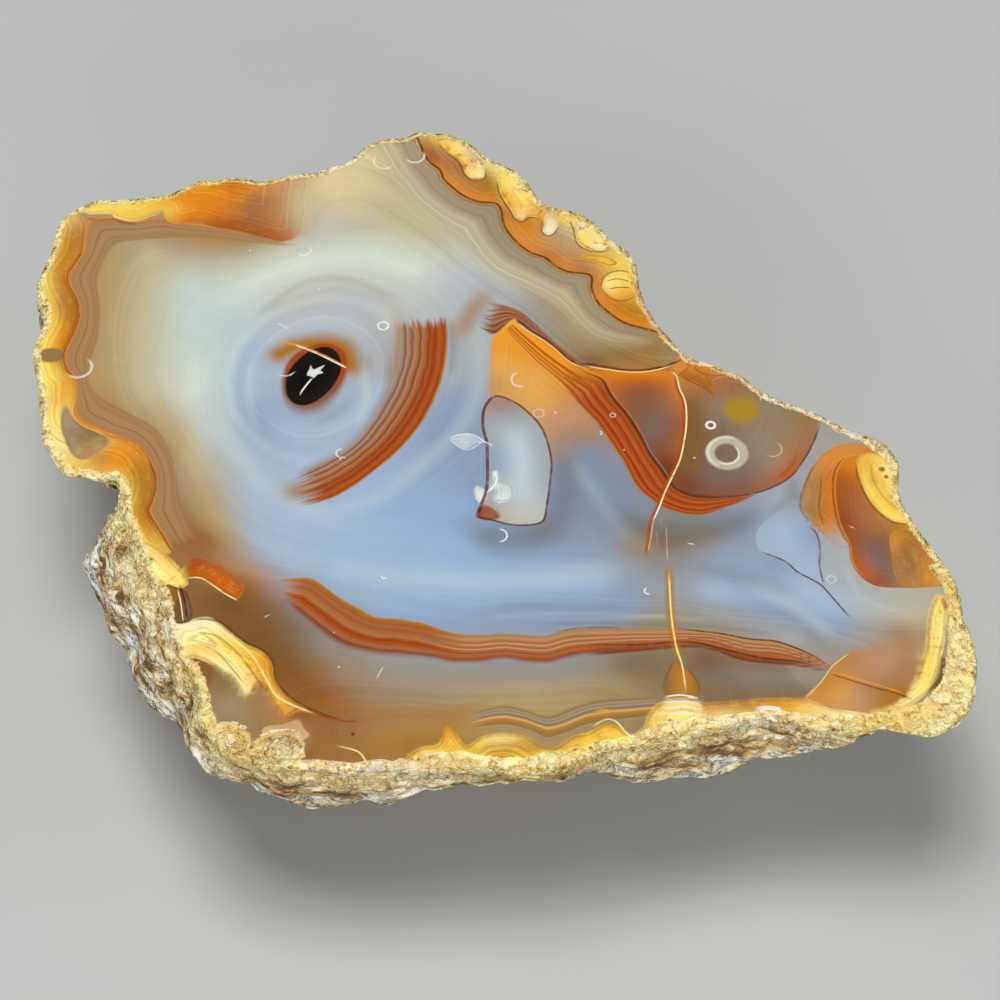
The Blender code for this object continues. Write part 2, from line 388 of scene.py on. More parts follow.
@dataclass
class Layer:
    """Patches painted at one time, none over another.

    Args:
        name: start of the names of its mesh attributes.
        patches: what is painted.
        reach: farthest fade of an edge, in millimetres.
    """

    name: str
    patches: list[Patch]
    reach: float = 9.0

    def depth(self, x: np.ndarray, y: np.ndarray) -> tuple[np.ndarray, np.ndarray, np.ndarray]:
        """Return each point's nearest patch, its distance from the edge, and that over the fade."""
        nearest = np.zeros(x.shape, int)
        away = np.full(x.shape, 1e3)
        faded = np.full(x.shape, 60.0)
        for k, patch in enumerate(self.patches):
            seen = read_curve(patch.outline(), x, y, True, self.reach)
            signed = np.where(seen.inside, -seen.away, seen.away)
            nearest = np.where(signed < away, k, nearest)
            away = np.minimum(away, signed)
            faded = np.minimum(faded, signed / np.maximum(seen.extra, 0.05))
        return nearest, away, faded

    def paint(self, raster: Raster, x: np.ndarray, y: np.ndarray) -> dict[str, np.ndarray]:
        """Work out the layer's mesh attributes at points of the cut."""
        labels, _, _ = self.depth(*raster.centres())
        strokes = [(k, s) for k, patch in enumerate(self.patches) for s in patch.strokes]
        colours = raster.sample(raster.spread(strokes, labels), x, y)
        nearest, away, faded = self.depth(x, y)
        stripe = np.array([p.stripe for p in self.patches])[nearest]
        mottle = np.array([p.mottle for p in self.patches])[nearest]
        LOG.info("layer %s: %d patches", self.name, len(self.patches))
        return {
            f"{self.name}_colour": colours,
            f"{self.name}_form": np.stack([np.clip(faded, -60, 60), np.clip(away, -20, 20), stripe], axis=1),
            f"{self.name}_grain": np.stack([mottle, mottle * 0, mottle * 0], axis=1),
        }


@dataclass(frozen=True)
class Band:
    """A striped band between two curves.

    Args:
        name: name of its mesh attribute.
        outer: first side.
        inner: second side, running the same way.
        stops: colours across it, from the outer side at 0 to the inner side at 1.
        soft: fade of the outer and of the inner side, in millimetres.
        fade: length of the fade at the start and at the end.
        lines: strength of the fine lines in it.
        strength: how much of it covers what lies below.
        reach: farthest distance from a side that is measured, in millimetres.
    """

    name: str
    outer: Path
    inner: Path
    stops: tuple[tuple[float, Tint], ...]
    soft: tuple[float, float] = (0.3, 0.3)
    fade: tuple[float, float] = (0.5, 0.5)
    lines: float = 0.3
    strength: float = 1.0
    reach: float = 12.0

    def paint(self, x: np.ndarray, y: np.ndarray) -> np.ndarray:
        """Return the place across the band, its cover, and the run along it."""
        outer, inner = curve(pairs(self.outer)), curve(pairs(self.inner))
        a = read_curve(outer, x, y, False, self.reach)
        b = read_curve(inner, x, y, False, self.reach)
        loop = np.vstack([outer, inner[::-1]])
        within = read_curve(loop, x, y, True, self.reach).inside
        wide = np.where(within, a.away + b.away, np.abs(a.away - b.away))
        wide = np.maximum(wide, 0.05)
        near_outer = a.away <= b.away
        across = np.where(within, a.away / wide, np.where(near_outer, -a.away / wide, 1 + b.away / wide))
        share = a.along / max(a.length, 1e-6)
        gap_a = np.where(within | ~near_outer, a.away, -a.away) / self.soft[0]
        gap_b = np.where(within | near_outer, b.away, -b.away) / self.soft[1]
        cover = np.clip(np.minimum(gap_a, gap_b), -9, 9)
        ends = np.minimum(a.along / self.fade[0], (a.length - a.along) / self.fade[1])
        along = np.clip(ends, 0, 2) * np.where((share <= 0) | (share >= 1), 0.0, 1.0)
        return np.stack([np.clip(across, -0.5, 1.5), cover, along], axis=1)


@dataclass(frozen=True)
class Vein:
    """A thin line on the cut.

    Args:
        path: its middle.
        half: half its width, in millimetres.
        strength: how strongly it shows.
        taper: length over which each end fades.
    """

    path: Path
    half: float = 0.15
    strength: float = 1.0
    taper: float = 0.6

    def line(self) -> np.ndarray:
        """Return the rounded line with its half width."""
        return curve([(x, y, self.half) for x, y in pairs(self.path)])


@dataclass
class Ink:
    """Veins of one colour.

    Args:
        name: name of their mesh attribute.
        tint: their colour.
        veins: the lines.
        soft: share of the half width over which a line fades.
        reach: farthest distance that is measured, in millimetres.
    """

    name: str
    tint: Tint
    veins: list[Vein]
    soft: float = 0.4
    reach: float = 2.5

    def paint(self, x: np.ndarray, y: np.ndarray) -> np.ndarray:
        """Return the signed distance over the half width, and the strength, at each point."""
        best = np.full(x.shape, 1e3)
        signed = np.full(x.shape, 30.0)
        power = np.zeros(x.shape)
        for vein in self.veins:
            seen = read_curve(vein.line(), x, y, False, self.reach)
            ends = np.clip(np.minimum(seen.along, seen.length - seen.along) / vein.taper, 0, 1)
            nearer = (seen.away < best) & (seen.away < self.reach - 0.1)
            best = np.where(nearer, seen.away, best)
            signed = np.where(nearer, seen.side * seen.away / seen.extra, signed)
            window = 1.0 - smoothstep(seen.away - seen.extra, 0.55, 0.8)
            power = np.where(nearer, vein.strength * ends * window, power)
        return np.stack([np.clip(signed, -30, 30), power, power * 0], axis=1)


@dataclass(frozen=True)
class Haze:
    """Wide soft strokes in the chalcedony, under bands and patches: pale, dark and warm ones."""

    pale: tuple[Vein, ...]
    dark: tuple[Vein, ...]
    warm: tuple[Vein, ...]

    def paint(self, x: np.ndarray, y: np.ndarray) -> np.ndarray:
        """Return the share of pale, dark and warm at each point."""
        columns = []
        for group in (self.pale, self.dark, self.warm):
            share = np.zeros(x.shape)
            for vein in group:
                seen = read_curve(vein.line(), x, y, False, 6.0)
                ends = smoothstep(np.minimum(seen.along, seen.length - seen.along) / vein.taper, -0.4, 1.0)
                own = vein.strength * ends * (1.0 - smoothstep(seen.away / seen.extra, 0.0, 1.0))
                share = np.maximum(share, own)
            columns.append(share)
        return np.stack(columns, axis=1)


@dataclass(frozen=True)
class Ring:
    """A small ring or crescent left by a knock, flush with the polish.

    Args:
        x: middle.
        y: middle.
        radius: radius in millimetres; 0 makes a dot.
        half: half width of its line.
        strength: how strongly it shows.
        facing: middle of the crescent, in degrees from +x; None draws a full ring.
        tint: its colour.
    """

    x: float
    y: float
    radius: float
    half: float = 0.12
    strength: float = 0.6
    facing: float | None = None
    tint: Tint = Tint.SNOW


T = Tint

# Rims of the lobes: each is both the edge of a patch and the side of a band.
LEFT: Path = (-46.1, 33.3, -46.9, 31.2, -47.7, 29.1, -47.2, 27.2, -46.4, 25.6, -45.8, 23.5, -45.8, 21.2,
              -46.4, 19.05, -47, 16.4, -46.4, 14.05, -45.3, 13, -45, 10, -45, 7.4, -43.9, 5.8, -42.1, 4.8,
              -40.5, 3.9, -38.4, 3.2, -36.8, 1.9, -35.5, -0.2, -34.7, -2.8, -34.9, -5.5, -35.3, -7.05,
              -34.2, -9.2, -33.2, -11, -32.1, -13.1)
LIP: Path = (-5.9, 53, -5.1, 50.7, -4.6, 49.2, -3.7, 47.8, -2.7, 46.8, -2.2, 45.2, -1.2, 43.9, 0.4, 42.3,
             2.3, 41.3, 4.4, 41, 5, 39.9, 5.2, 38.1, 5.8, 36.3, 7, 34.4, 8.6, 32.8, 10.4, 31.9, 11.5, 30.7,
             13.1, 29.6, 15.8, 29.1, 15.9, 27.3, 16.2, 26, 16.8, 24.4, 18.4, 22.6, 20, 21.3, 22.1, 20.5,
             24.5, 19.6)

GROUND: tuple[Stroke, ...] = (
    Stroke((-43, 37, -42.2, 30, -42, 20, -43, 12, -41, 8), (T.KHAKI, T.TAN, T.TAN, T.TAN, T.OCHRE)),
    Stroke((-38, 33, -38, 20, -38, 12, -34, 7, -32, 2), (T.CREAM, T.CREAM, T.CREAM, T.TAN)),
    Stroke((-33, 28, -32, 18, -31, 10, -28, 3), (T.CELADON, T.CELADON, T.MILK, T.PEARL)),
    Stroke((-30, 24, -22, 30, -12, 33, -5, 30), (T.CELADON, T.MILK, T.MILK, T.MILK)),
    Stroke((-25, 33.5, -15, 37, -8, 38, -2, 35), (T.CREAM, T.CLOUD, T.CREAM, T.CREAM)),
    Stroke((-36, 36.5, -28, 35, -24, 33.8), (T.FAWN, T.OCHRE, T.KHAKI)),
    Stroke((-16, 43, -10, 44, -5, 42, 0, 37, 5, 32), (T.SAND, T.CREAM, T.CREAM, T.CREAM)),
    Stroke((-18, 45.5, -12, 49, -7, 50), (T.SAND, T.SAND, T.DRAB)),
    Stroke((-4.5, 46, -2, 42, 3, 39, 4.5, 35, 8, 31, 12, 28.5, 15, 26, 17, 21.5, 22, 18.8),
           (T.TAN, T.KHAKI, T.KHAKI, T.TAN, T.TOFFEE)),
    Stroke((-3, 40, 1, 37, 3.5, 33, 8, 29, 12, 26, 15, 21, 20, 18),
           (T.CREAM, T.CREAM, T.DRAB, T.TAN, T.TOFFEE)),
    Stroke((0, 33, 4, 30, 8, 26.5, 12, 22, 16, 18, 20, 16.5),
           (T.CLOUD, T.CLOUD, T.TAUPE, T.KHAKI, T.TOFFEE)),
    Stroke((0, 29, 4, 27, 8, 24.5, 11, 21), (T.PEARL, T.DOVE, T.TAUPE)),
    Stroke((15.5, 15.5, 20, 14.7, 24, 15.2), (T.UMBER, T.OCHRE, T.OCHRE)),
    Stroke((24, 17.5, 25.5, 16.5), (T.TOFFEE, T.KHAKI)),
    Stroke((-1, 27, 1, 22, 1.5, 16, 2, 8), (T.PEARL, T.DOVE, T.DUSK)),
    Stroke((0.5, 19, 0, 14, -1, 8, -3, 3), (T.DOVE, T.DOVE, T.DUSK, T.DUSK)),
    Stroke((-22, 24, -17, 27, -11, 25), (T.CLOUD, T.CLOUD, T.PEARL)),
    Stroke((-22, 21, -17, 22.5, -12, 21.5), T.PEARL),
    Stroke((-10, 19, -9, 14, -10, 9), (T.DOVE, T.DOVE, T.MIST)),
    Stroke((-24, 8, -21, 3, -16, 1.5, -13, 5), (T.DUSK, T.MIST, T.MIST)),
    Stroke((-25, 18, -26, 12, -25, 6), T.MIST),
    Stroke((-28, 17, -28.5, 10, -26, 3, -22, -2), (T.CELADON, T.PEARL, T.MIST)),
    Stroke((-20, 26, -15, 28, -9, 26), T.CLOUD),
    Stroke((-9, 22, -8, 17, -8.5, 13), (T.CLOUD, T.DOVE, T.TAUPE)),
    Stroke((-24, -3, -20, -9, -14, -13), (T.MIST, T.MIST, T.LAKE)),
    Stroke((-8, -6, -2, -10, 4, -13, 12, -13), (T.SKY, T.SKY, T.DUSK)),
    Stroke((-14, -16, -4, -18, 8, -18, 16, -17), T.LAKE),
    Stroke((-8, -20.5, 2, -22, 12, -21.5, 20, -21), (T.SKY, T.DUSK, T.DUSK)),
    Stroke((2, -10.5, 6, -11, 10, -10), (T.SLATE, T.SLATE, T.SMOKE)),
    Stroke((12.5, 5, 12.5, -2, 12, -8), (T.ROSE, T.SLATE, T.SLATE)),
    Stroke((15, 2, 17, -3, 19, -8), T.SLATE),
    Stroke((20, -12, 22, -12, 26, -11, 29, -11), (T.TOFFEE, T.BARK, T.MUSHROOM)),
    Stroke((24, -9, 28, -9.2, 32, -8), (T.SMOKE, T.SMOKE, T.SLATE)),
    Stroke((12, 8, 14, 5, 16, 3), (T.BUFF, T.ROSE, T.ROSE)),
    Stroke((30, -14, 33, -17, 38, -20, 42, -24), (T.DUSK, T.MIST, T.DUSK)),
    Stroke((28, -18, 34, -20, 38, -23, 41, -26), (T.MIST, T.DUSK, T.TAUPE)),
    Stroke((43, -15, 45, -19, 49, -22, 52, -22), (T.DOVE, T.DOVE, T.CREAM)),
    Stroke((49, -24, 50.5, -26, 49, -29), (T.FAWN, T.FAWN, T.TAN)),
    Stroke((37, -6, 39, -5), (T.MIST, T.DOVE)),
    Stroke((36, -15, 39, -17.5, 42, -21), (T.DUSK, T.MIST, T.LAKE)),
    Stroke((20, -22.8, 26, -23, 34, -23.6, 38, -25), (T.KHAKI, T.TAUPE, T.DOVE)),
    Stroke((-14, -28, -8, -29.5, -2, -30.5), (T.TOFFEE, T.TAUPE, T.TAUPE)),
    Stroke((2, -30.5, 8, -30.5, 14, -30), T.TAUPE),
    Stroke((18, -28.5, 22, -28.5), T.BARK),
    Stroke((28, -29, 33, -30, 38, -31), (T.BARK, T.TAUPE, T.TAUPE)),
    Stroke((27, -27.3, 32, -29, 36, -29.5), (T.UMBER, T.BARK, T.BARK)),
    Stroke((-2, -34, 4, -33, 10, -33, 18, -31.5), (T.KHAKI, T.TAN, T.KHAKI)),
    Stroke((-8, -38, -3, -38, 0, -36), T.OCHRE),
    Stroke((28, -32.3, 34, -32, 38, -32), T.BARK),
    Stroke((-26, -19, -21, -25, -16, -31, -13, -34), (T.UMBER, T.UMBER, T.BURNT)),
    Stroke((-24, -17, -18, -23, -12, -29), (T.BURNT, T.BARK, T.TAUPE)),
    Stroke((-29, -11, -25, -15, -22, -17), (T.BURNT, T.FAWN, T.FAWN)),
    Stroke((-33, -3, -31, -8, -28, -12), (T.ROSE, T.TOFFEE, T.BURNT)),
    Stroke((-31, 3, -30, -3, -28, -8, -25, -11), (T.CREAM, T.TAN, T.TAN)),
    Stroke((-45, 31, -45, 25, -44.5, 19, -44.5, 14), T.FAWN),
    Stroke((-38, 5, -35, 2, -33.5, -3), (T.FAWN, T.TOFFEE, T.TOFFEE)),
    Stroke((-25, -9, -21, -13, -17, -15), (T.DOVE, T.MIST, T.MIST)),
    Stroke((2, 3, 2, -1, 0.5, -7), (T.DUSK, T.DUSK, T.SKY)),
    Stroke((42.3, -14, 43.5, -18, 46, -20.5), (T.DOVE, T.DOVE, T.PEARL)),
)

# Level of the growth lines and their strength along guide curves: the lines follow equal levels.
RHYTHM: tuple[Stroke, ...] = (
    Stroke((-47, 41, -47.2, 30, -46, 22, -47, 15, -45, 8, -39, 3.5, -35, -3, -34.5, -9, -30, -14),
           ((0, 0.5),)),
    Stroke((-46, 40, -38, 38, -30, 36.8, -20, 34.6), ((0, 0.4), (0, 0.3))),
    Stroke((-43.3, 33, -44, 28, -43, 22, -44, 16, -42, 8, -36, 4, -32, -3, -31, -9, -26, -14),
           ((3, 0.6), (3, 0.5))),
    Stroke((-36, 32, -36, 20, -35, 10, -29, 0, -27, -8), ((10, 0.12), (10, 0.2))),
    Stroke((-6, 52, -2, 44, 4.5, 39.5, 8, 32, 15, 28, 18, 21.5, 24, 18.5), ((0, 0.9),)),
    Stroke((-8, 48, -5, 41, 1, 36, 5, 30, 12, 24.5, 16, 19, 22, 16.8), ((5, 1),)),
    Stroke((-10, 42, -3, 34, 2, 28.5, 8, 24, 12, 19, 17, 15.8), ((11, 0.5), (11, 0.9))),
    Stroke((-20, 38, -12, 37, -5, 33), ((14, 0.15), (14, 0.2))),
    Stroke((-17, 23, -10, 19, -9, 12, -14, 5, -20, 3, -24.5, 8, -24.5, 16, -20, 22), ((30, 0.5),)),
    Stroke((-17, 27.5, -7, 24, -4, 14, -9, 2, -18, -2, -27, 5, -28.5, 15, -24, 24), ((24, 0.35),)),
    Stroke((2, 24, 2, 12, -2, 1, -9, -7, -18, -10), ((17, 0.4), (17, 0.3))),
    Stroke((-19, -16, -10, -20, 0, -23, 20, -22.5, 38, -25), ((3, 0.3), (3, 0.7))),
    Stroke((-16, -11, -4, -14, 12, -15, 24, -15, 36, -20), ((10, 0.15),)),
    Stroke((-19, -21, -9, -28, 6, -29, 20, -27.5, 34, -29), ((-4, 0.5),)),
    Stroke((-15, -34, -2, -36, 8, -35.5, 18, -33.5), ((-11, 0.9), (-11, 0.8))),
    Stroke((14, 10, 18, 0, 22, -8, 28, -9.5, 36, -6), ((14, 0.25),)),
    Stroke((42, -12, 44, -18, 50, -20.5), ((9, 0.4),)),
)

HAZE = Haze(
    pale=(
        Vein((2.6, 23, 2.6, 12, 0.8, 6, -4, 0, -9, -5, -16, -8), 1.9, 0.3, 5),
        Vein((-24, 24, -28, 12, -26, 2, -20, -5, -12, -9), 2.2, 0.35, 5),
        Vein((-11.4, 14.5, -10.7, 9.8, -11.6, 5.5), 1, 0.4, 2),
        Vein((-26.6, 20, -27.3, 13, -26, 5), 0.9, 0.35, 3),
        Vein((-24.3, 17, -24.7, 11, -23.4, 5), 0.8, 0.3, 2.5),
        Vein((12.8, 2, 15.6, -4, 19, -9.5, 22, -12.5), 1.7, 0.2, 4),
        Vein((-15, -15, -6, -16.6, 4, -17, 14, -16, 20, -15), 2.6, 0.3, 6),
        Vein((4, -21.9, 12, -21.6, 20, -21.8, 28, -22.4), 0.35, 0.3, 3),
        Vein((33, -17.6, 38, -20.6, 42.6, -25.4), 1.6, 0.3, 3),
        Vein((44, -15, 45.4, -19.4, 50, -21.4), 0.5, 0.3, 1.5),
    ),
    dark=(
        Vein((1.6, -10.4, 5, -11.6, 9, -11.2, 11.8, -8.4, 12.6, -3, 12.2, 3), 2.8, 0.4, 3),
        Vein((18, -7, 21, -9.6, 26, -10.4, 31, -9.4, 35, -7), 2.6, 0.5, 3),
        Vein((38.6, -1.6, 38.2, -5, 36, -8.6), 1.6, 0.45, 2),
        Vein((-17, 5.6, -14.2, 7.4, -12.2, 10), 1.4, 0.2, 2),
        Vein((26.4, -15, 33, -16.6, 38.6, -19.6), 2.2, 0.25, 4),
        Vein((10, -22.8, 20, -22.9, 28, -23.3, 36, -24.6), 0.6, 0.4, 3),
        Vein((4, -20.6, 12, -20.4, 22, -20.8), 1, 0.2, 3),
        Vein((-24.4, 22.6, -19, 27.8, -13.6, 28.6, -7, 25), 0.9, 0.2, 3),
        Vein((27, -29.4, 32, -30.4, 38, -31), 1.4, 0.35, 2),
        Vein((-1, 22, -0.6, 17, -0.8, 13), 0.7, 0.35, 2),
    ),
    warm=(
        Vein((-22.4, 15.4, -20, 17.4, -16.6, 18.3, -13.8, 17.6, -12.8, 15, -13.4, 13), 2.5, 1, 1.6),
        Vein((-10.8, 17, -10.4, 13.4), 1, 0.22, 1.2),
        Vein((-0.6, 18.6, 3.6, 27), 2.3, 0.6, 3.4),
        Vein((-20.4, -4.4, -15, -4), 2.4, 0.75, 2.2),
        Vein((-7.6, 23.4, -6.9, 18, -8, 12), 1.3, 0.35, 3),
        Vein((-16, -33.4, -8, -34.8, 0, -34.8, 4, -33.4), 1.5, 0.35, 3),
    ),
)

RIM_PATCHES: list[Patch] = [
    Patch(
        ((-56, 42), (-47, 39.4, 0.3), *pairs(LEFT), (-36, -14), (-41, -8), (-42, -4), (-47, -4), (-54, 0),
         (-57, 12)),
        (Stroke((-46.6, 36, -46.6, 33, -47.3, 31.2, -48.1, 29, -47.6, 27.1, -46.8, 25.5, -46.2, 23.4,
                 -46.2, 21, -46.9, 18.8, -47.4, 16.4, -46.8, 14),
                (T.TAWNY, T.ORANGE, T.SYRUP, T.EMBER, T.SYRUP)),
         Stroke((-47.6, 36, -47.8, 32, -48.9, 29, -47.8, 25, -47.2, 21),
                (T.SYRUP, T.SYRUP, T.TAWNY, T.SYRUP)),
         Stroke((-48.2, 20.4, -48.6, 16.6, -47.6, 12, -47.2, 9.4), (T.AMBER, T.GOLD, T.YELLOW, T.AMBER)),
         Stroke((-48.8, 36.4, -50.2, 30, -49.2, 25, -48.2, 21.6, -49.6, 17, -48.8, 11),
                (T.AMBER, T.GOLD, T.GOLD, T.YELLOW, T.YELLOW)),
         Stroke((-49.9, 36, -50.8, 28, -49.8, 22, -50.4, 17, -49.2, 8), (T.STRAW, T.YELLOW, T.STRAW)),
         Stroke((-46.4, 12.4, -46.4, 9.6), (T.ORANGE, T.GOLD)),
         Stroke((-48, 6, -46, 1.5, -43.5, -0.5), (T.YELLOW, T.STRAW, T.GOLD)),
         Stroke((-41.6, 0.4, -39.4, 1.6, -37.6, 0.4), (T.TAWNY, T.AMBER, T.ORANGE)),
         Stroke((-37, -1, -36.4, -3.4, -36.4, -7, -35, -10), (T.SYRUP, T.SYRUP, T.SYRUP, T.EMBER)),
         Stroke((-39.4, -1, -38.2, -4.4, -38, -8, -36.4, -11), (T.AMBER, T.YELLOW, T.GOLD, T.YELLOW))),
        0.45, 0.1),
    Patch(
        ((-54, 43), (-46.6, 39.6, 0.3), (-42.9, 39.6, 0.2), (-42.7, 38.9), (-40, 38.3), (-36.9, 39.8),
         (-36.4, 38.8), (-35.3, 37.7), (-33.5, 37.9), (-32.2, 38.1), (-31.1, 37.7), (-29.8, 37.2),
         (-27.7, 36.7), (-25.05, 35.8), (-22.9, 35), (-21.1, 34.8, 0.2), (-19.8, 35.6, 1.2), (-19.4, 38, 3),
         (-19.4, 42, 3.5), (-20, 47.5, 3.5), (-30, 50), (-50, 46)),
        (Stroke((-46, 41, -42, 41, -38, 41.5), (T.YELLOW, T.YELLOW, T.GOLD)),
         Stroke((-36, 41, -33, 42.2, -30, 43.4), (T.AMBER, T.ORANGE, T.AMBER)),
         Stroke((-36, 40, -33.6, 40.6, -31.4, 41.6), (T.YELLOW, T.AMBER, T.ORANGE)),
         Stroke((-35, 38.6, -33, 39, -31.4, 38.8), (T.ORANGE, T.EMBER, T.ORANGE)),
         Stroke((-30.6, 37.9, -27.4, 37.4, -24.6, 36.4, -21.6, 35.4),
                (T.SIENNA, T.SIENNA, T.SIENNA, T.COPPER)),
         Stroke((-29.6, 40.4, -26, 39.4, -22.8, 38), (T.ORANGE, T.CLAY, T.TAWNY)),
         Stroke((-28.8, 44.4, -27, 43.2, -25, 43.6), (T.EMBER, T.ORANGE, T.HONEY)),
         Stroke((-26, 42, -23, 41), (T.CLAY, T.TAWNY)),
         Stroke((-20, 42, -19, 39), T.DRAB)),
        0.3, 0.05),
    Patch(
        ((-8, 56), *pairs(LIP), (29, 20), (26, 30), (17, 43), (6, 53), (-4, 58)),
        (Stroke((-5, 51.6, -4.2, 49.6, -3.2, 48.2, -2.1, 47, -1.7, 45.6, -0.8, 44.4, 0.8, 42.9, 2.4, 42,
                 4.2, 41.7), (T.TAWNY, T.SIENNA, T.HONEY, T.HONEY, T.HONEY, T.ORANGE)),
         Stroke((-3.6, 51.4, -1.6, 48.4, 0.4, 45.4, 2.8, 43.6, 4.6, 43),
                (T.CLAY, T.CLAY, T.TAWNY, T.SYRUP)),
         Stroke((0.2, 49.6, 2.6, 46.8, 4, 44.4), T.SYRUP),
         Stroke((5.7, 40.2, 5.9, 38.2, 6.5, 36.6, 7.6, 35, 9.1, 33.6, 10.8, 32.8, 12, 31.5, 13.4, 30.4,
                 15.6, 29.9), (T.CLAY, T.HONEY, T.HONEY, T.HONEY, T.COPPER, T.HONEY, T.CLAY)),
         Stroke((7.2, 39, 8.6, 36.6, 10.6, 34.8, 13, 33, 15.4, 31.6),
                (T.SYRUP, T.ORANGE, T.CAMEL, T.CAMEL, T.TAWNY)),
         Stroke((9.4, 39.4, 11.4, 37.4, 13.6, 35.8), (T.ORANGE, T.CAMEL, T.OAT)),
         Stroke((-3, 53, 2, 50, 8, 44, 14, 38), (T.YELLOW, T.STRAW, T.YELLOW, T.YELLOW)),
         Stroke((16.6, 28.4, 16.9, 26.4, 17.5, 24.8, 19, 23.2, 21.6, 21.6),
                (T.TAWNY, T.HONEY, T.HONEY, T.ORANGE, T.ORANGE)),
         Stroke((18, 25, 20, 23.8, 22, 22.8), (T.EMBER, T.SYRUP, T.SYRUP)),
         Stroke((20, 32, 21.5, 26), (T.YELLOW, T.GOLD))),
        0.3, 0.05),
    Patch(
        ((6.7, 22.2, 0.12), (7.1, 21.3, 0.12), (8.7, 19.9), (10.3, 18.6), (11.6, 17.3), (12.9, 15.7),
         (14.2, 14.7), (15.1, 14.4), (17.4, 14.3), (19.5, 13.9), (21.6, 13.8), (23.7, 14.2), (25.3, 14.3),
         (25, 11), (21, 5), (17, 7, 1.5), (15.4, 6, 2.2), (12.5, 3.4, 2.6), (10, 2, 2.6), (7, 6, 1),
         (3.8, 10.2, 0.6), (3.8, 14, 0.5), (4, 18.9, 0.3), (5, 20.3, 0.2)),
        (Stroke((6.8, 21.5, 7, 19.5), (T.GOLD, T.AMBER)),
         Stroke((4.4, 18.6, 4.4, 15, 4.3, 11.4), (T.AMBER, T.APRICOT, T.CAMEL)),
         Stroke((6, 18, 8.4, 15.6, 10.4, 13), (T.AMBER, T.AMBER, T.APRICOT)),
         Stroke((6, 15, 7.4, 12.6, 9.8, 9.6), T.APRICOT),
         Stroke((10.8, 8.2, 11.6, 6.8), (T.APRICOT, T.PINK)),
         Stroke((11.5, 5, 12.5, 3.5), (T.PINK, T.ROSE)),
         Stroke((13, 11, 14.5, 8), (T.HONEY, T.PINK)),
         Stroke((10, 18, 14, 14, 18, 13.4, 21, 12.8, 24, 13), (T.AMBER, T.AMBER, T.ORANGE, T.EMBER))),
        0.1),
    Patch(
        ((25.3, 14.3), (25.9, 13.1), (26.1, 11.3), (26.6, 9.7), (26.8, 8.1), (26.7, 5.5), (26.3, 2.8),
         (25.8, 0.5), (25, -1.6), (24.4, -3), (25, -3.4), (26.8, -4.5), (28.9, -4.9), (31.6, -4.9),
         (33.2, -4.7), (35.3, -4.1), (37.4, -2.95), (38.9, -1.6), (40, 0.2), (40.8, 1.6), (41.8, 4),
         (42.6, 6.4, 0.6), (47, 10), (36, 17), (29, 19)),
        (Stroke((26, 14.2, 28.4, 14.6, 31, 13.8), (T.HONEY, T.HONEY, T.TAWNY)),
         Stroke((27.4, 11.6, 30.4, 11.4, 33, 11.8, 37, 8.5), (T.TAWNY, T.CLAY, T.TOFFEE, T.MUSHROOM)),
         Stroke((27.8, 9, 27.6, 3, 26.8, -1), T.BRONZE),
         Stroke((30, 8.6, 30.6, 4.6), (T.MUSHROOM, T.BARK)),
         Stroke((34.5, 4, 36, 0), T.MUSHROOM),
         Stroke((31, 3.5, 33, -1), (T.BARK, T.MAUVE)),
         Stroke((26, -2.6, 29, -3.9, 33, -3.9), (T.MAHOGANY, T.PLUM, T.PLUM)),
         Stroke((28.6, -2, 33, -2.4), T.MAUVE),
         Stroke((37.4, -2.1, 38.9, -0.6, 39.9, 1.4), (T.COPPER, T.COPPER, T.CLAY)),
         Stroke((36.3, -1, 38.2, 1.8), (T.ROSE, T.FAWN)),
         Stroke((38.5, 5, 40.5, 6.5, 41.8, 8), (T.MUSHROOM, T.TOFFEE, T.TOFFEE))),
        0.12),
]

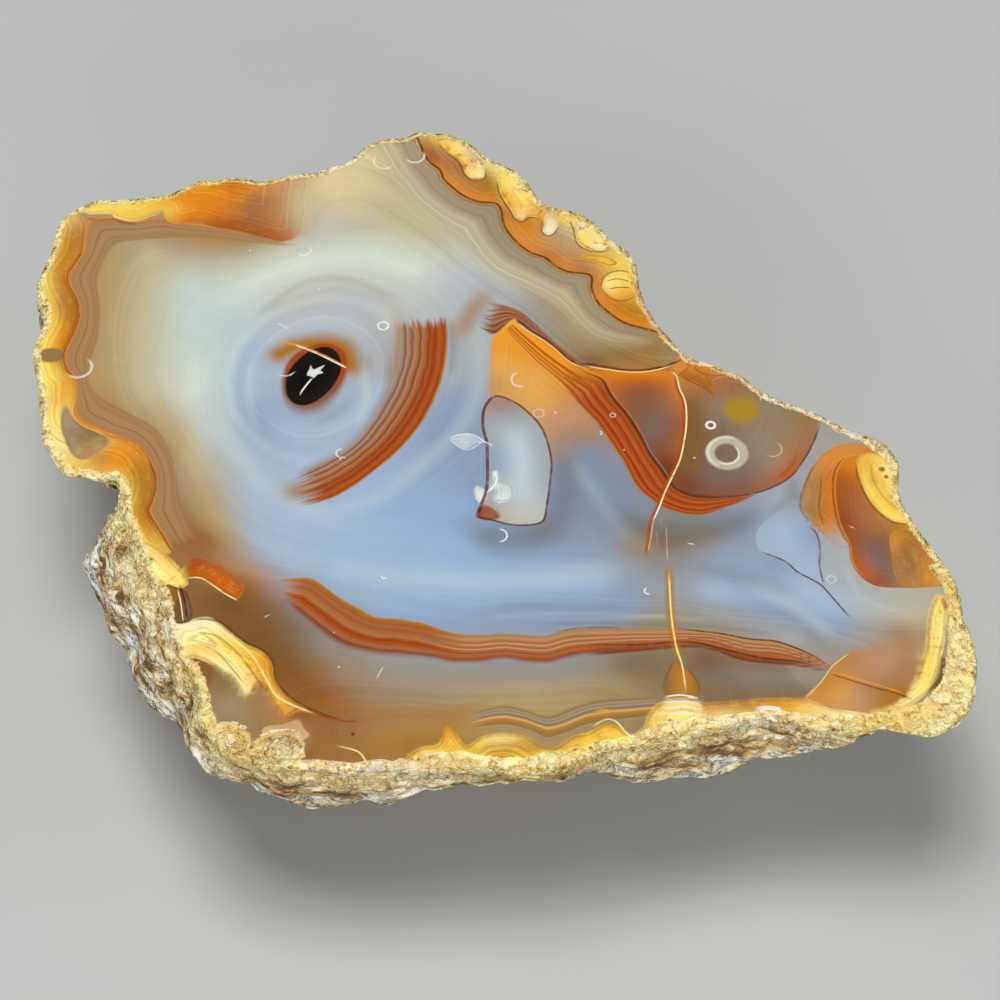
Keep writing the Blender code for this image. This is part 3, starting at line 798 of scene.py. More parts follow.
FIELD_PATCHES: list[Patch] = [
    Patch(
        ((4.2, 10), (5.2, 9.9), (7.05, 8.8), (8.6, 7.1), (9.8, 5.3), (10.5, 2.9), (10.9, 0), (10.7, -2.9),
         (10.3, -6.3), (9.95, -8.4), (9.2, -8.9), (7.6, -9.1), (6, -8.95), (4.3, -8.4), (2.45, -7.9, 0.1),
         (2.8, -6.3, 0.1), (3.4, -4.7, 0.1), (3.6, -2.9), (3.6, 0), (3.5, 3.2), (3.1, 5), (3.05, 7.1),
         (3.4, 8.7)),
        (Stroke((4.2, 9, 6.2, 8.6), T.ROSE),
         Stroke((4.4, 6, 7.4, 6.2), T.FROST),
         Stroke((4.5, 3, 4.5, 0, 4.7, -2), (T.FROST, T.DUSK, T.FROST)),
         Stroke((6.6, 4, 7.3, 2, 7.8, -2, 7.6, -5), T.GLASS),
         Stroke((9.4, 4, 9.9, 0, 9.7, -4), T.FROST),
         Stroke((3.2, -7.4, 5, -7.2, 9, -7.8), (T.ROSE, T.CLOUD, T.CLOUD))),
        fade=0.06),
    Patch(
        ((15, 14.4), (17.4, 12.8), (18.4, 10.2), (20.3, 7.05), (21.6, 4.2), (22.6, 1.5), (24.2, -1.4),
         (24.6, -2.6), (25, -1.6), (25.8, 0.5), (26.3, 2.8), (26.7, 5.5), (26.8, 8.1), (26.6, 9.7),
         (26.1, 11.3), (25.9, 13.1), (25.3, 13.8), (23.7, 14, 0.3), (21.6, 13.7, 0.3), (19.5, 13.8, 0.3)),
        (Stroke((18, 13.5, 21, 13.4, 24.6, 13.4), (T.ORANGE, T.ORANGE, T.HONEY)),
         Stroke((18.8, 12, 21, 12, 24.6, 12.2), (T.EMBER, T.SIENNA, T.EMBER)),
         Stroke((20, 10.2, 22.5, 10.4, 25, 10), (T.PLUM, T.PLUM, T.CLAY)),
         Stroke((21.2, 7.8, 23, 4.6, 24.4, 1.4), (T.PLUM, T.MAUVE, T.RUSSET)),
         Stroke((24, 7.6, 24.8, 4), (T.MAUVE, T.PLUM)),
         Stroke((26.4, 11.4, 26.4, 6, 25.8, 1.6), (T.HONEY, T.SIENNA, T.CLAY)),
         Stroke((24.2, -0.4, 24.6, -2.2), T.COCOA))),
    Patch(
        ((39, -3.6, 1), (37.4, -6.2, 0.7), (35, -8.8), (34.1, -10.2), (34.1, -12), (34.5, -13), (36.8, -14),
         (38.4, -15.7), (41, -17.6), (41.2, -13.6), (40.9, -10.2), (39.8, -7, 0.4), (39.5, -4.4, 0.8)),
        (Stroke((38.8, -4.6, 38.2, -6.4), (T.SMOKE, T.FROST)),
         Stroke((37, -8.6, 37.3, -10, 38.3, -12), (T.MIST, T.LAKE, T.MIST)),
         Stroke((40, -10.5, 40.3, -15.5), (T.DUSK, T.MIST))),
        fade=0.12),
    Patch(
        ((45.3, 2.9, 0.5), (42.6, 1.5, 0.3), (41, -0.7, 0.25), (40, -3.5, 0.2), (39.3, -6, 0.15),
         (39.6, -7.8, 0.15), (40.8, -9.2, 0.2), (42, -10.8, 0.4), (43.6, -12.4, 0.4), (45, -12), (47, -4),
         (48, 2)),
        (Stroke((44.6, 2, 42.8, 0.6, 41.4, -1.4), (T.HONEY, T.HONEY, T.CAMEL)),
         Stroke((42.9, -1.4, 42.6, -5, 42.7, -8.4), (T.EMBER, T.ORANGE, T.EMBER)),
         Stroke((41.4, -2.6, 41, -6.2, 41.2, -8), (T.OCHRE, T.TOFFEE, T.OCHRE)),
         Stroke((40, -5, 39.9, -7.2), (T.CAMEL, T.TOFFEE)),
         Stroke((42.3, -9.4, 42.6, -10.4), (T.HONEY, T.CAMEL)),
         Stroke((43, -11.4, 44, -12.4), T.DOVE)),
        0.3),
    Patch(
        ((44, -26.6, 0.15), (43.3, -26.9, 0.12), (41.3, -28.8, 0.12), (40, -30.9, 0.12), (38.1, -33, 0.15),
         (40.4, -33.8), (43.3, -34.8), (45.6, -35), (49.6, -33.6), (50.4, -32), (50.8, -30), (51, -28, 1.6),
         (48.8, -26, 1.6)),
        (Stroke((43.8, -28.2, 44.8, -29), (T.TAWNY, T.CAMEL)),
         Stroke((46, -29.6, 48, -28), T.PINK),
         Stroke((48.4, -29.5, 50, -28), T.FAWN),
         Stroke((40.6, -31.2, 42, -30.2), (T.OCHRE, T.HONEY)),
         Stroke((45, -31, 48, -31.8), (T.FAWN, T.SYRUP)),
         Stroke((40.2, -32.8, 42.2, -32.2, 44, -33.5), (T.HONEY, T.APRICOT, T.PINK)),
         Stroke((46, -34.4, 48, -32.9), (T.OCHRE, T.SYRUP)))),
    Patch(
        ((-46.1, 8.8, 0.3), (-45, 7), (-43.8, 5.5, 0.15), (-42, 4.5, 0.15), (-40.6, 3.6, 0.4),
         (-40.6, 2.6, 0.7), (-41.6, 1.4, 0.6), (-43.2, 0.4, 0.3), (-44.6, 1.2), (-45.8, 3.8), (-46.4, 6.2)),
        (Stroke((-45.8, 7, -45.2, 5.4), T.HAY),
         Stroke((-44.6, 5, -43.8, 4.2, -42.2, 3.8), (T.TOFFEE, T.BARK, T.OLIVE)),
         Stroke((-44.6, 2.6, -43.2, 2.2, -41.8, 1.8), (T.HAY, T.FAWN, T.CAMEL))),
        0.3, 0.1, fade=0.2),
    Patch(
        ((53.9, -19, 0.3), (52.9, -21.4, 0.4), (52.3, -24.6, 0.4), (51.7, -27.6, 0.3), (50.7, -29.9, 0.2),
         (49.1, -32, 0.2), (47.2, -33.5, 0.2), (45.2, -34.6, 0.2), (45.6, -35.2), (49.6, -33.9),
         (52, -31.6), (53.4, -28), (54.4, -24), (54.9, -19.6)),
        (Stroke((53.8, -20.4, 53.2, -25, 52.4, -28.4), (T.YELLOW, T.STRAW, T.YELLOW)),
         Stroke((52.7, -22.4, 52.2, -27.4), T.GOLD),
         Stroke((51.4, -30.4, 49.2, -32.9, 46.6, -34.4), (T.YELLOW, T.STRAW, T.GOLD))),
        0.8, 0.5),
    Patch(
        ((-31, -21.6, 0.1), (-29.7, -22.4), (-27.6, -22), (-26.3, -22.8), (-24.9, -24.1), (-23.1, -25.7),
         (-21.3, -26.7), (-20.1, -28.3), (-19.7, -30.4), (-18.6, -32.3), (-16.8, -33.8),
         (-14.6, -35.1, 0.15), (-16.8, -34.5), (-18.5, -35.4, 0.25), (-19.9, -33, 0.3), (-21.4, -30.9, 0.3),
         (-22.6, -33, 0.3), (-24.2, -30.4, 0.3), (-26, -28.8, 0.3), (-28.9, -27.5, 0.1), (-32, -28, 0.1)),
        (Stroke((-29.6, -23, -27, -23, -24.4, -24.9, -21.6, -27.6, -20.2, -31),
                (T.IVORY, T.STRAW, T.YELLOW, T.AMBER, T.HONEY)),
         Stroke((-29, -24.4, -26, -25.2, -23, -28.4, -21, -31.6), (T.STRAW, T.GOLD, T.GOLD, T.AMBER)),
         Stroke((-29, -26.6, -26, -27.6, -23, -30.8), (T.GOLD, T.STRAW, T.STRAW)),
         Stroke((-19.6, -32, -17.6, -34, -15.2, -35), (T.GOLD, T.HONEY, T.RUST))),
        0.8, 0.2, fade=0.2),
    Patch(
        ((-26, -29, 0.8), (-24.4, -30.6, 0.4), (-22.6, -33.2, 0.3), (-21.4, -31.2, 0.3),
         (-19.7, -33.3, 0.3), (-18.2, -35.4, 0.5), (-16, -36.5, 1.2), (-16, -39.5, 1), (-20, -39.6),
         (-24, -37.5), (-27, -34)),
        (Stroke((-25.6, -30.8, -25, -33, -22, -35.5, -18, -37.5), (T.OLIVE, T.STONE, T.TOFFEE, T.FAWN)),
         Stroke((-22.6, -33.8, -20, -34.6, -18, -36), (T.TOFFEE, T.FAWN, T.TAWNY)))),
    Patch(
        ((-30.4, -16.3, 0.15), (-30, -14, 0.9), (-28.6, -13.9, 0.9), (-27.2, -14.8, 0.6),
         (-26.4, -14.8, 0.8), (-25.9, -16, 0.4), (-25.2, -15.8, 0.6), (-24.6, -17, 0.4),
         (-23.8, -17.8, 0.4), (-24.3, -19.6), (-25.5, -18.9), (-27.1, -17.6), (-28.6, -16.5)),
        (Stroke((-29.6, -14.6, -27.8, -15.2, -26, -16.4, -24.6, -18),
                (T.CHESTNUT, T.RUST, T.EMBER, T.RUST)),
         Stroke((-29.4, -15.9, -27.2, -16.8, -25, -18.7), T.EMBER)),
        0.4, 0.1, fade=0.12),
    Patch(
        ((-37.6, -11.2), (-35.2, -11.4), (-33.2, -12.8), (-31, -15.4), (-30, -17.4), (-31.4, -18.2),
         (-33.4, -18.6, 0.1), (-36.6, -15, 0.1)),
        (Stroke((-36, -12.8, -33.5, -14.6, -31.4, -16.8), (T.STRAW, T.STRAW, T.YELLOW)),
         Stroke((-34.6, -12, -32.2, -14.4), (T.GOLD, T.AMBER))),
        0.7, 0.3, fade=0.2),
    Patch(
        ((-20.7, 13.2, 0.35), (-20.4, 9.8, 0.5), (-18.6, 7.7, 1.3), (-16, 8.1, 1.3), (-13.8, 11.2, 0.6),
         (-13, 15), (-13.8, 17.3), (-15.9, 18.3, 0.2), (-17.9, 17.7, 0.2), (-19.9, 15.9)),
        (Stroke((-19, 8.2, -17.4, 7.7, -15.6, 8.8), T.PLUM),
         Stroke((-20.6, 11.4, -20.3, 14), (T.RUSSET, T.SIENNA)),
         Stroke((-18.8, 16.9, -16, 18, -14, 16.9), (T.RUSSET, T.SIENNA, T.CHESTNUT)),
         Stroke((-13.3, 15, -13.8, 12.4, -14.8, 10.4), (T.COPPER, T.RUSSET, T.PLUM))),
        fade=0.25),
]

TOP_PATCHES: list[Patch] = [
    Patch(
        ((46.8, 1.1), (45, 0.8), (43.7, -1.3), (43.3, -3.9), (43.3, -6.5), (43.6, -9.2), (44.5, -12),
         (44.5, -13.9), (45, -15.5), (46, -17), (47.4, -17.8), (50, -18), (52.1, -18), (55.5, -17.5),
         (58, -16), (56, -5), (53, 2), (49, 4)),
        (Stroke((44.2, -2, 44, -5, 44.2, -8, 45, -11), (T.SIENNA, T.SIENNA, T.RUSSET, T.SIENNA)),
         Stroke((45.6, 0, 45.2, -3, 45.6, -6.5, 46.8, -9.6), (T.ORANGE, T.SIENNA, T.CLAY, T.CLAY)),
         Stroke((46, -11, 46.8, -13, 47.6, -14.8), (T.PLUM, T.MAUVE, T.MAUVE)),
         Stroke((45.1, -13, 45.6, -15, 46.6, -16.8, 48.2, -17.5), (T.SIENNA, T.RUST, T.RUST, T.RUSSET)),
         Stroke((48.6, -11.4, 48.7, -16.6), (T.PLUM, T.MAUVE)),
         Stroke((53, -8, 54.6, -12), (T.GOLD, T.YELLOW)),
         Stroke((48.4, -9, 50.4, -9.6, 52.6, -9.4), (T.TAWNY, T.SYRUP, T.HONEY))),
        0.15, 0),
    Patch(
        ((-20.3, 11.8), (-20, 10), (-19.2, 8.9), (-17.9, 8.6), (-16.4, 9.4), (-14.9, 11.2), (-13.9, 13.6),
         (-13.9, 15.6), (-14.7, 17.2), (-16, 17.7), (-17.6, 17.1), (-19.2, 15.4), (-20.1, 13.6)),
        (Stroke((-18.6, 11, -15.6, 15), T.JET),),
        fade=0.12),
    Patch(
        ((-32.6, -17.6), (-31, -18), (-30, -18.4), (-29.4, -20.4), (-29.2, -22.4), (-31, -22.9),
         (-32.4, -21, 0.1)),
        (Stroke((-32, -18.6, -31.6, -22), (T.SYRUP, T.OLIVE)),
         Stroke((-31, -18.8, -30.4, -22), (T.MAHOGANY, T.INK)),
         Stroke((-29.9, -19.4, -29.6, -21.6), T.BARK)),
        0.9, fade=0.15),
    Patch(
        ((-20.7, -36.8), (-18.4, -36.3), (-16.9, -35.7), (-16.3, -36.8), (-15.6, -37.9), (-17.4, -39),
         (-18.6, -40.2), (-20.2, -38.6)),
        (Stroke((-19.8, -37.2, -17.6, -36.6), (T.BUFF, T.PINK)),
         Stroke((-19.4, -38.6, -16.6, -37.8), (T.WHEAT, T.BUFF)))),
    Patch(
        ((-5, -41, 0.6), (-3.4, -39.4, 0.4), (-1.6, -38.9), (-0.8, -36.5, 0.12), (0.3, -37.7, 0.15),
         (1.4, -39.2), (2.8, -38.1), (5, -37.5), (7.6, -37.9), (9.4, -39.1, 0.3), (11, -39.4, 0.3),
         (12.8, -38, 0.3), (14.8, -37.3), (16.4, -36.3), (17.8, -36.7), (19.2, -37.8, 0.3),
         (21, -36.8, 0.4), (22, -39, 0.1), (12, -43, 0.1), (-4, -43, 0.1)),
        (Stroke((-2.8, -40, -1, -39.2, -0.5, -37.8, 0.6, -39), (T.YELLOW, T.GOLD, T.ORANGE, T.GOLD)),
         Stroke((2.4, -39, 5, -38.1, 7.6, -38.5, 9.2, -39.6), (T.GOLD, T.STRAW, T.GOLD, T.OCHRE)),
         Stroke((3.2, -39.6, 5.4, -39, 8, -39.5), (T.OCHRE, T.SYRUP, T.OCHRE)),
         Stroke((11.4, -39.8, 13.2, -38.6, 15.4, -37.8), (T.OCHRE, T.GOLD, T.GOLD)),
         Stroke((15.8, -37.2, 17.4, -37.4, 19, -38.6), (T.AMBER, T.GOLD, T.YELLOW)),
         Stroke((0, -40.6, 8, -40.8, 16, -39.4), (T.GOLD, T.GOLD, T.YELLOW))),
        0.7, 0.35, fade=0.2),
    Patch(
        ((26.5, -34.2, 0.4), (30.1, -33.4, 0.3), (33.8, -33, 0.3), (36.9, -33, 0.3), (38.7, -33.2, 0.3),
         (41, -34.2), (46, -35.4), (40, -37), (28, -38)),
        (Stroke((27.5, -34.6, 31, -34.1, 37, -34), (T.HONEY, T.SYRUP, T.AMBER)),
         Stroke((28, -35.6, 34, -34.9, 44, -35.6), (T.STRAW, T.GOLD, T.STRAW))),
        0.5, 0.2),
    Patch(
        ((24, -28.2), (23.3, -30), (22.9, -32, 0.2), (23.4, -33, 0.3), (25, -33.2, 0.3), (26.5, -32.8, 0.3),
         (26.7, -31.4, 0.2), (26, -29.8), (24.9, -28.4)),
        (Stroke((23.7, -30, 23.4, -32.2), T.OLIVE),
         Stroke((26, -30.8, 26.1, -32.4), (T.OLIVE, T.SYRUP)),
         Stroke((24.8, -30, 24.9, -32), (T.ORANGE, T.HONEY))),
        0.2, 0, fade=0.15),
    Patch(
        ((22.8, -33.4, 0.4), (24.8, -33, 0.4), (26.9, -33.5, 0.4), (28, -35.2, 0.5), (25, -37.4),
         (21, -36.8), (21.4, -34.8, 0.5)),
        (Stroke((22.4, -35, 24.8, -34.2, 27, -35), (T.GOLD, T.STRAW, T.GOLD)),),
        0.7, 0.3),
]

CREST_PATCHES: list[Patch] = [
    Patch(
        ((17.4, 27.3), (17.8, 28.9), (19.2, 29.7), (20.8, 29.3), (21.6, 27.8), (21.6, 26.2), (20, 25.2),
         (18.4, 25.6)),
        (Stroke((18.2, 27.2, 19.2, 28.9, 20.6, 28.6), (T.STRAW, T.YELLOW, T.YELLOW)),
         Stroke((18.4, 26.4, 19.6, 25.8, 20.8, 25.9), (T.GOLD, T.AMBER, T.ORANGE)),
         Stroke((19, 27.6, 20.4, 27.4), (T.YELLOW, T.GOLD))),
        0.3, 0.1, fade=0.15),
    Patch(
        ((-2.9, 52.2), (-1, 52.4), (1, 51), (2.6, 48.8), (3.1, 46.8), (2.9, 45.5), (1.7, 45.3), (0.7, 46.3),
         (0.3, 47.8), (-0.6, 49.2), (-1.8, 50.2), (-2.7, 51.2)),
        (Stroke((-2.2, 51.4, -0.4, 50.4, 0.8, 48.6, 1.2, 46.6, 2, 45.8),
                (T.GOLD, T.YELLOW, T.AMBER, T.STRAW)),
         Stroke((0, 51.2, 1.8, 49, 2.4, 46.8), (T.IVORY, T.BUFF, T.STRAW))),
        0.5, 0.8),
    Patch(
        ((4.8, 46.6), (4.9, 43.6), (5.6, 41.7), (6.4, 40), (6.9, 38.7), (7.8, 38.2), (8.5, 39), (9.7, 38.8),
         (10.4, 40.4), (10, 42), (8.4, 44.4), (6.4, 46.6)),
        (Stroke((5.4, 45, 5.8, 42.6, 7, 40, 7.8, 39), (T.YELLOW, T.GOLD, T.AMBER, T.STRAW)),
         Stroke((7, 44, 8.2, 41.6, 9.2, 39.8), (T.STRAW, T.YELLOW, T.ORANGE))),
        0.5, 0.6),
    Patch(
        ((10.6, 39.4), (11.9, 38.7), (12.1, 37.2), (11.2, 35.8), (10.3, 36.4), (10.5, 37.6)),
        (Stroke((11.2, 38.6, 11.2, 36.4), (T.SAND, T.IVORY)),),
        0.4, 0.1),
    Patch(
        ((13.8, 39.8), (14.7, 37.8), (14.3, 36.4), (14.6, 34.6), (15.6, 33.6), (17.4, 33.2), (18.6, 33.8),
         (18.2, 35.6), (16.6, 37.6), (15.4, 39.2)),
        (Stroke((14.6, 38.6, 15.3, 36.8, 15.2, 35, 16.6, 34), (T.IVORY, T.STRAW, T.GOLD, T.STRAW)),
         Stroke((16, 37.4, 17.4, 35), (T.SAND, T.STRAW))),
        0.5, 0.8),
    Patch(
        ((14.9, 32.4), (16.2, 32.5), (18, 32.2), (19.6, 31), (18.4, 30.6), (16.6, 31.5), (15.2, 31.8)),
        (Stroke((15.6, 32.1, 18.6, 31.4), T.GOLD),),
        1, 0, fade=0.2),
    Patch(
        ((46.4, 0.6, 0.25), (48, 1.4, 0.2), (50, 0.4), (50.6, -3), (51.4, -5.4), (52.6, -7.2), (51.8, -8.8),
         (49.8, -8.5, 0.15), (48.1, -6.8, 0.15), (47, -4.4, 0.15), (46.4, -1.8, 0.2)),
        (Stroke((46.9, -0.2, 47.4, -3, 48.8, -6, 51, -8), (T.GOLD, T.YELLOW, T.YELLOW, T.YELLOW)),
         Stroke((47.8, 0.2, 48, -2.6, 49.4, -5.6, 51.2, -7.2), (T.AMBER, T.SYRUP, T.AMBER, T.GOLD)),
         Stroke((48.6, -0.2, 48.8, -2.8, 50, -5.2), (T.YELLOW, T.GOLD, T.YELLOW)),
         Stroke((49.7, -0.6, 49.9, -3, 50.8, -4.8), (T.STRAW, T.YELLOW, T.STRAW))),
        0.35, 0.25),
    Patch(
        ((49.3, -10.4), (50.6, -9.8, 0.3), (52.6, -10.4, 0.3), (53.8, -13, 0.3), (53.8, -17.2, 0.3),
         (52.4, -17.9, 0.1), (50.6, -17.8, 0.1), (49.7, -17), (49.3, -15.6), (49.2, -13)),
        (Stroke((49.7, -10.8, 49.6, -13.6, 50, -16.6), (T.HONEY, T.TAWNY, T.TAWNY)),
         Stroke((51, -10.8, 51.2, -13.6, 51.4, -17), (T.SYRUP, T.BRONZE, T.TOFFEE)),
         Stroke((52.8, -12, 53, -16.6), (T.TAWNY, T.HONEY))),
        0.1, 0.1, fade=0.06),
    Patch(
        ((26, 13.4), (27, 14.4), (27.8, 15.6), (29, 16.4, 0.3), (31, 15.4, 0.3), (33, 14, 0.3), (32.4, 13),
         (31, 12.9), (30, 12.2), (30.5, 11.3), (30.2, 10.3), (29.2, 11.4), (27.8, 12.3), (26.6, 12.8)),
        (Stroke((26.6, 13.2, 28.4, 12.8, 29.9, 11.2), (T.COPPER, T.SYRUP, T.COPPER)),
         Stroke((28, 14.6, 29.6, 14.8, 31.4, 14), (T.ORANGE, T.AMBER, T.APRICOT)),
         Stroke((28.6, 13.8, 30.4, 13.4), (T.EMBER, T.CLAY))),
        0.3, 0.1),
    Patch(
        ((2.3, -8, 0.2), (2.6, -6.6, 0.3), (3.3, -6.2, 0.5), (4.4, -6.9, 0.5), (5, -8, 0.4),
         (3.8, -8.5, 0.2)),
        (Stroke((2.8, -7.2, 4, -7.8), (T.RUSSET, T.CLAY)),),
        1),
    # A star-shaped white glint inside the black eye: a painted reflection from a small fracture within it.
    Patch(
        ((-17.7, 15.5), (-17.35, 14.5), (-17.1, 14.1), (-16.7, 14.3), (-15.7, 14.9), (-16.3, 14),
         (-15.8, 13.5), (-16.6, 13.4), (-17, 12.8), (-17.4, 13.1), (-17.9, 13.3), (-17.6, 14.1)),
        (Stroke((-17.4, 14, -16.6, 13.6), T.SNOW),),
        0.5),
    Patch(
        ((-49.6, 17.2), (-47.6, 17.4), (-46.9, 16.4), (-47.4, 15.4), (-49.4, 15.4)),
        (Stroke((-49, 16.4, -47.6, 16.4), T.TOFFEE),),
        0.3, fade=0.3),
    Patch(
        ((2.1, -3.4), (3.2, -3.9), (3.5, -4.8), (2.9, -6), (2.2, -5.2)),
        (Stroke((2.6, -4, 2.8, -5.2), (T.CELADON, T.SNOW)),),
        0.4),
    Patch(
        ((4.2, -1.2), (4.7, -1.3), (4.9, -2.6), (5.4, -3), (6.4, -3.3), (6.6, -4.4), (6.4, -5.5),
         (5.2, -5.8), (4.2, -5.4), (4.4, -4.2), (3.5, -4.2), (4.1, -3.2)),
        (Stroke((4.5, -1.8, 4.4, -3.4), (T.SNOW, T.CELADON)),
         Stroke((5, -3.6, 6, -4.2, 5.6, -5.2), (T.CELADON, T.FROST, T.SNOW))),
        0.7),
    Patch(
        ((-0.9, 3.5), (0.2, 4.2), (1.4, 4.3), (2.4, 3.9), (3.2, 3.3), (2.2, 2.5), (1.2, 1.9), (0.2, 2.3)),
        (Stroke((-0.2, 3.7, 1.6, 3.9, 2.6, 3.5), (T.MIST, T.SNOW, T.MIST)),
         Stroke((0.4, 3, 1.8, 3), T.SLATE),
         Stroke((0.6, 2.5, 1.6, 2.4), (T.SNOW, T.MIST))),
        0.6, fade=0.15),
]

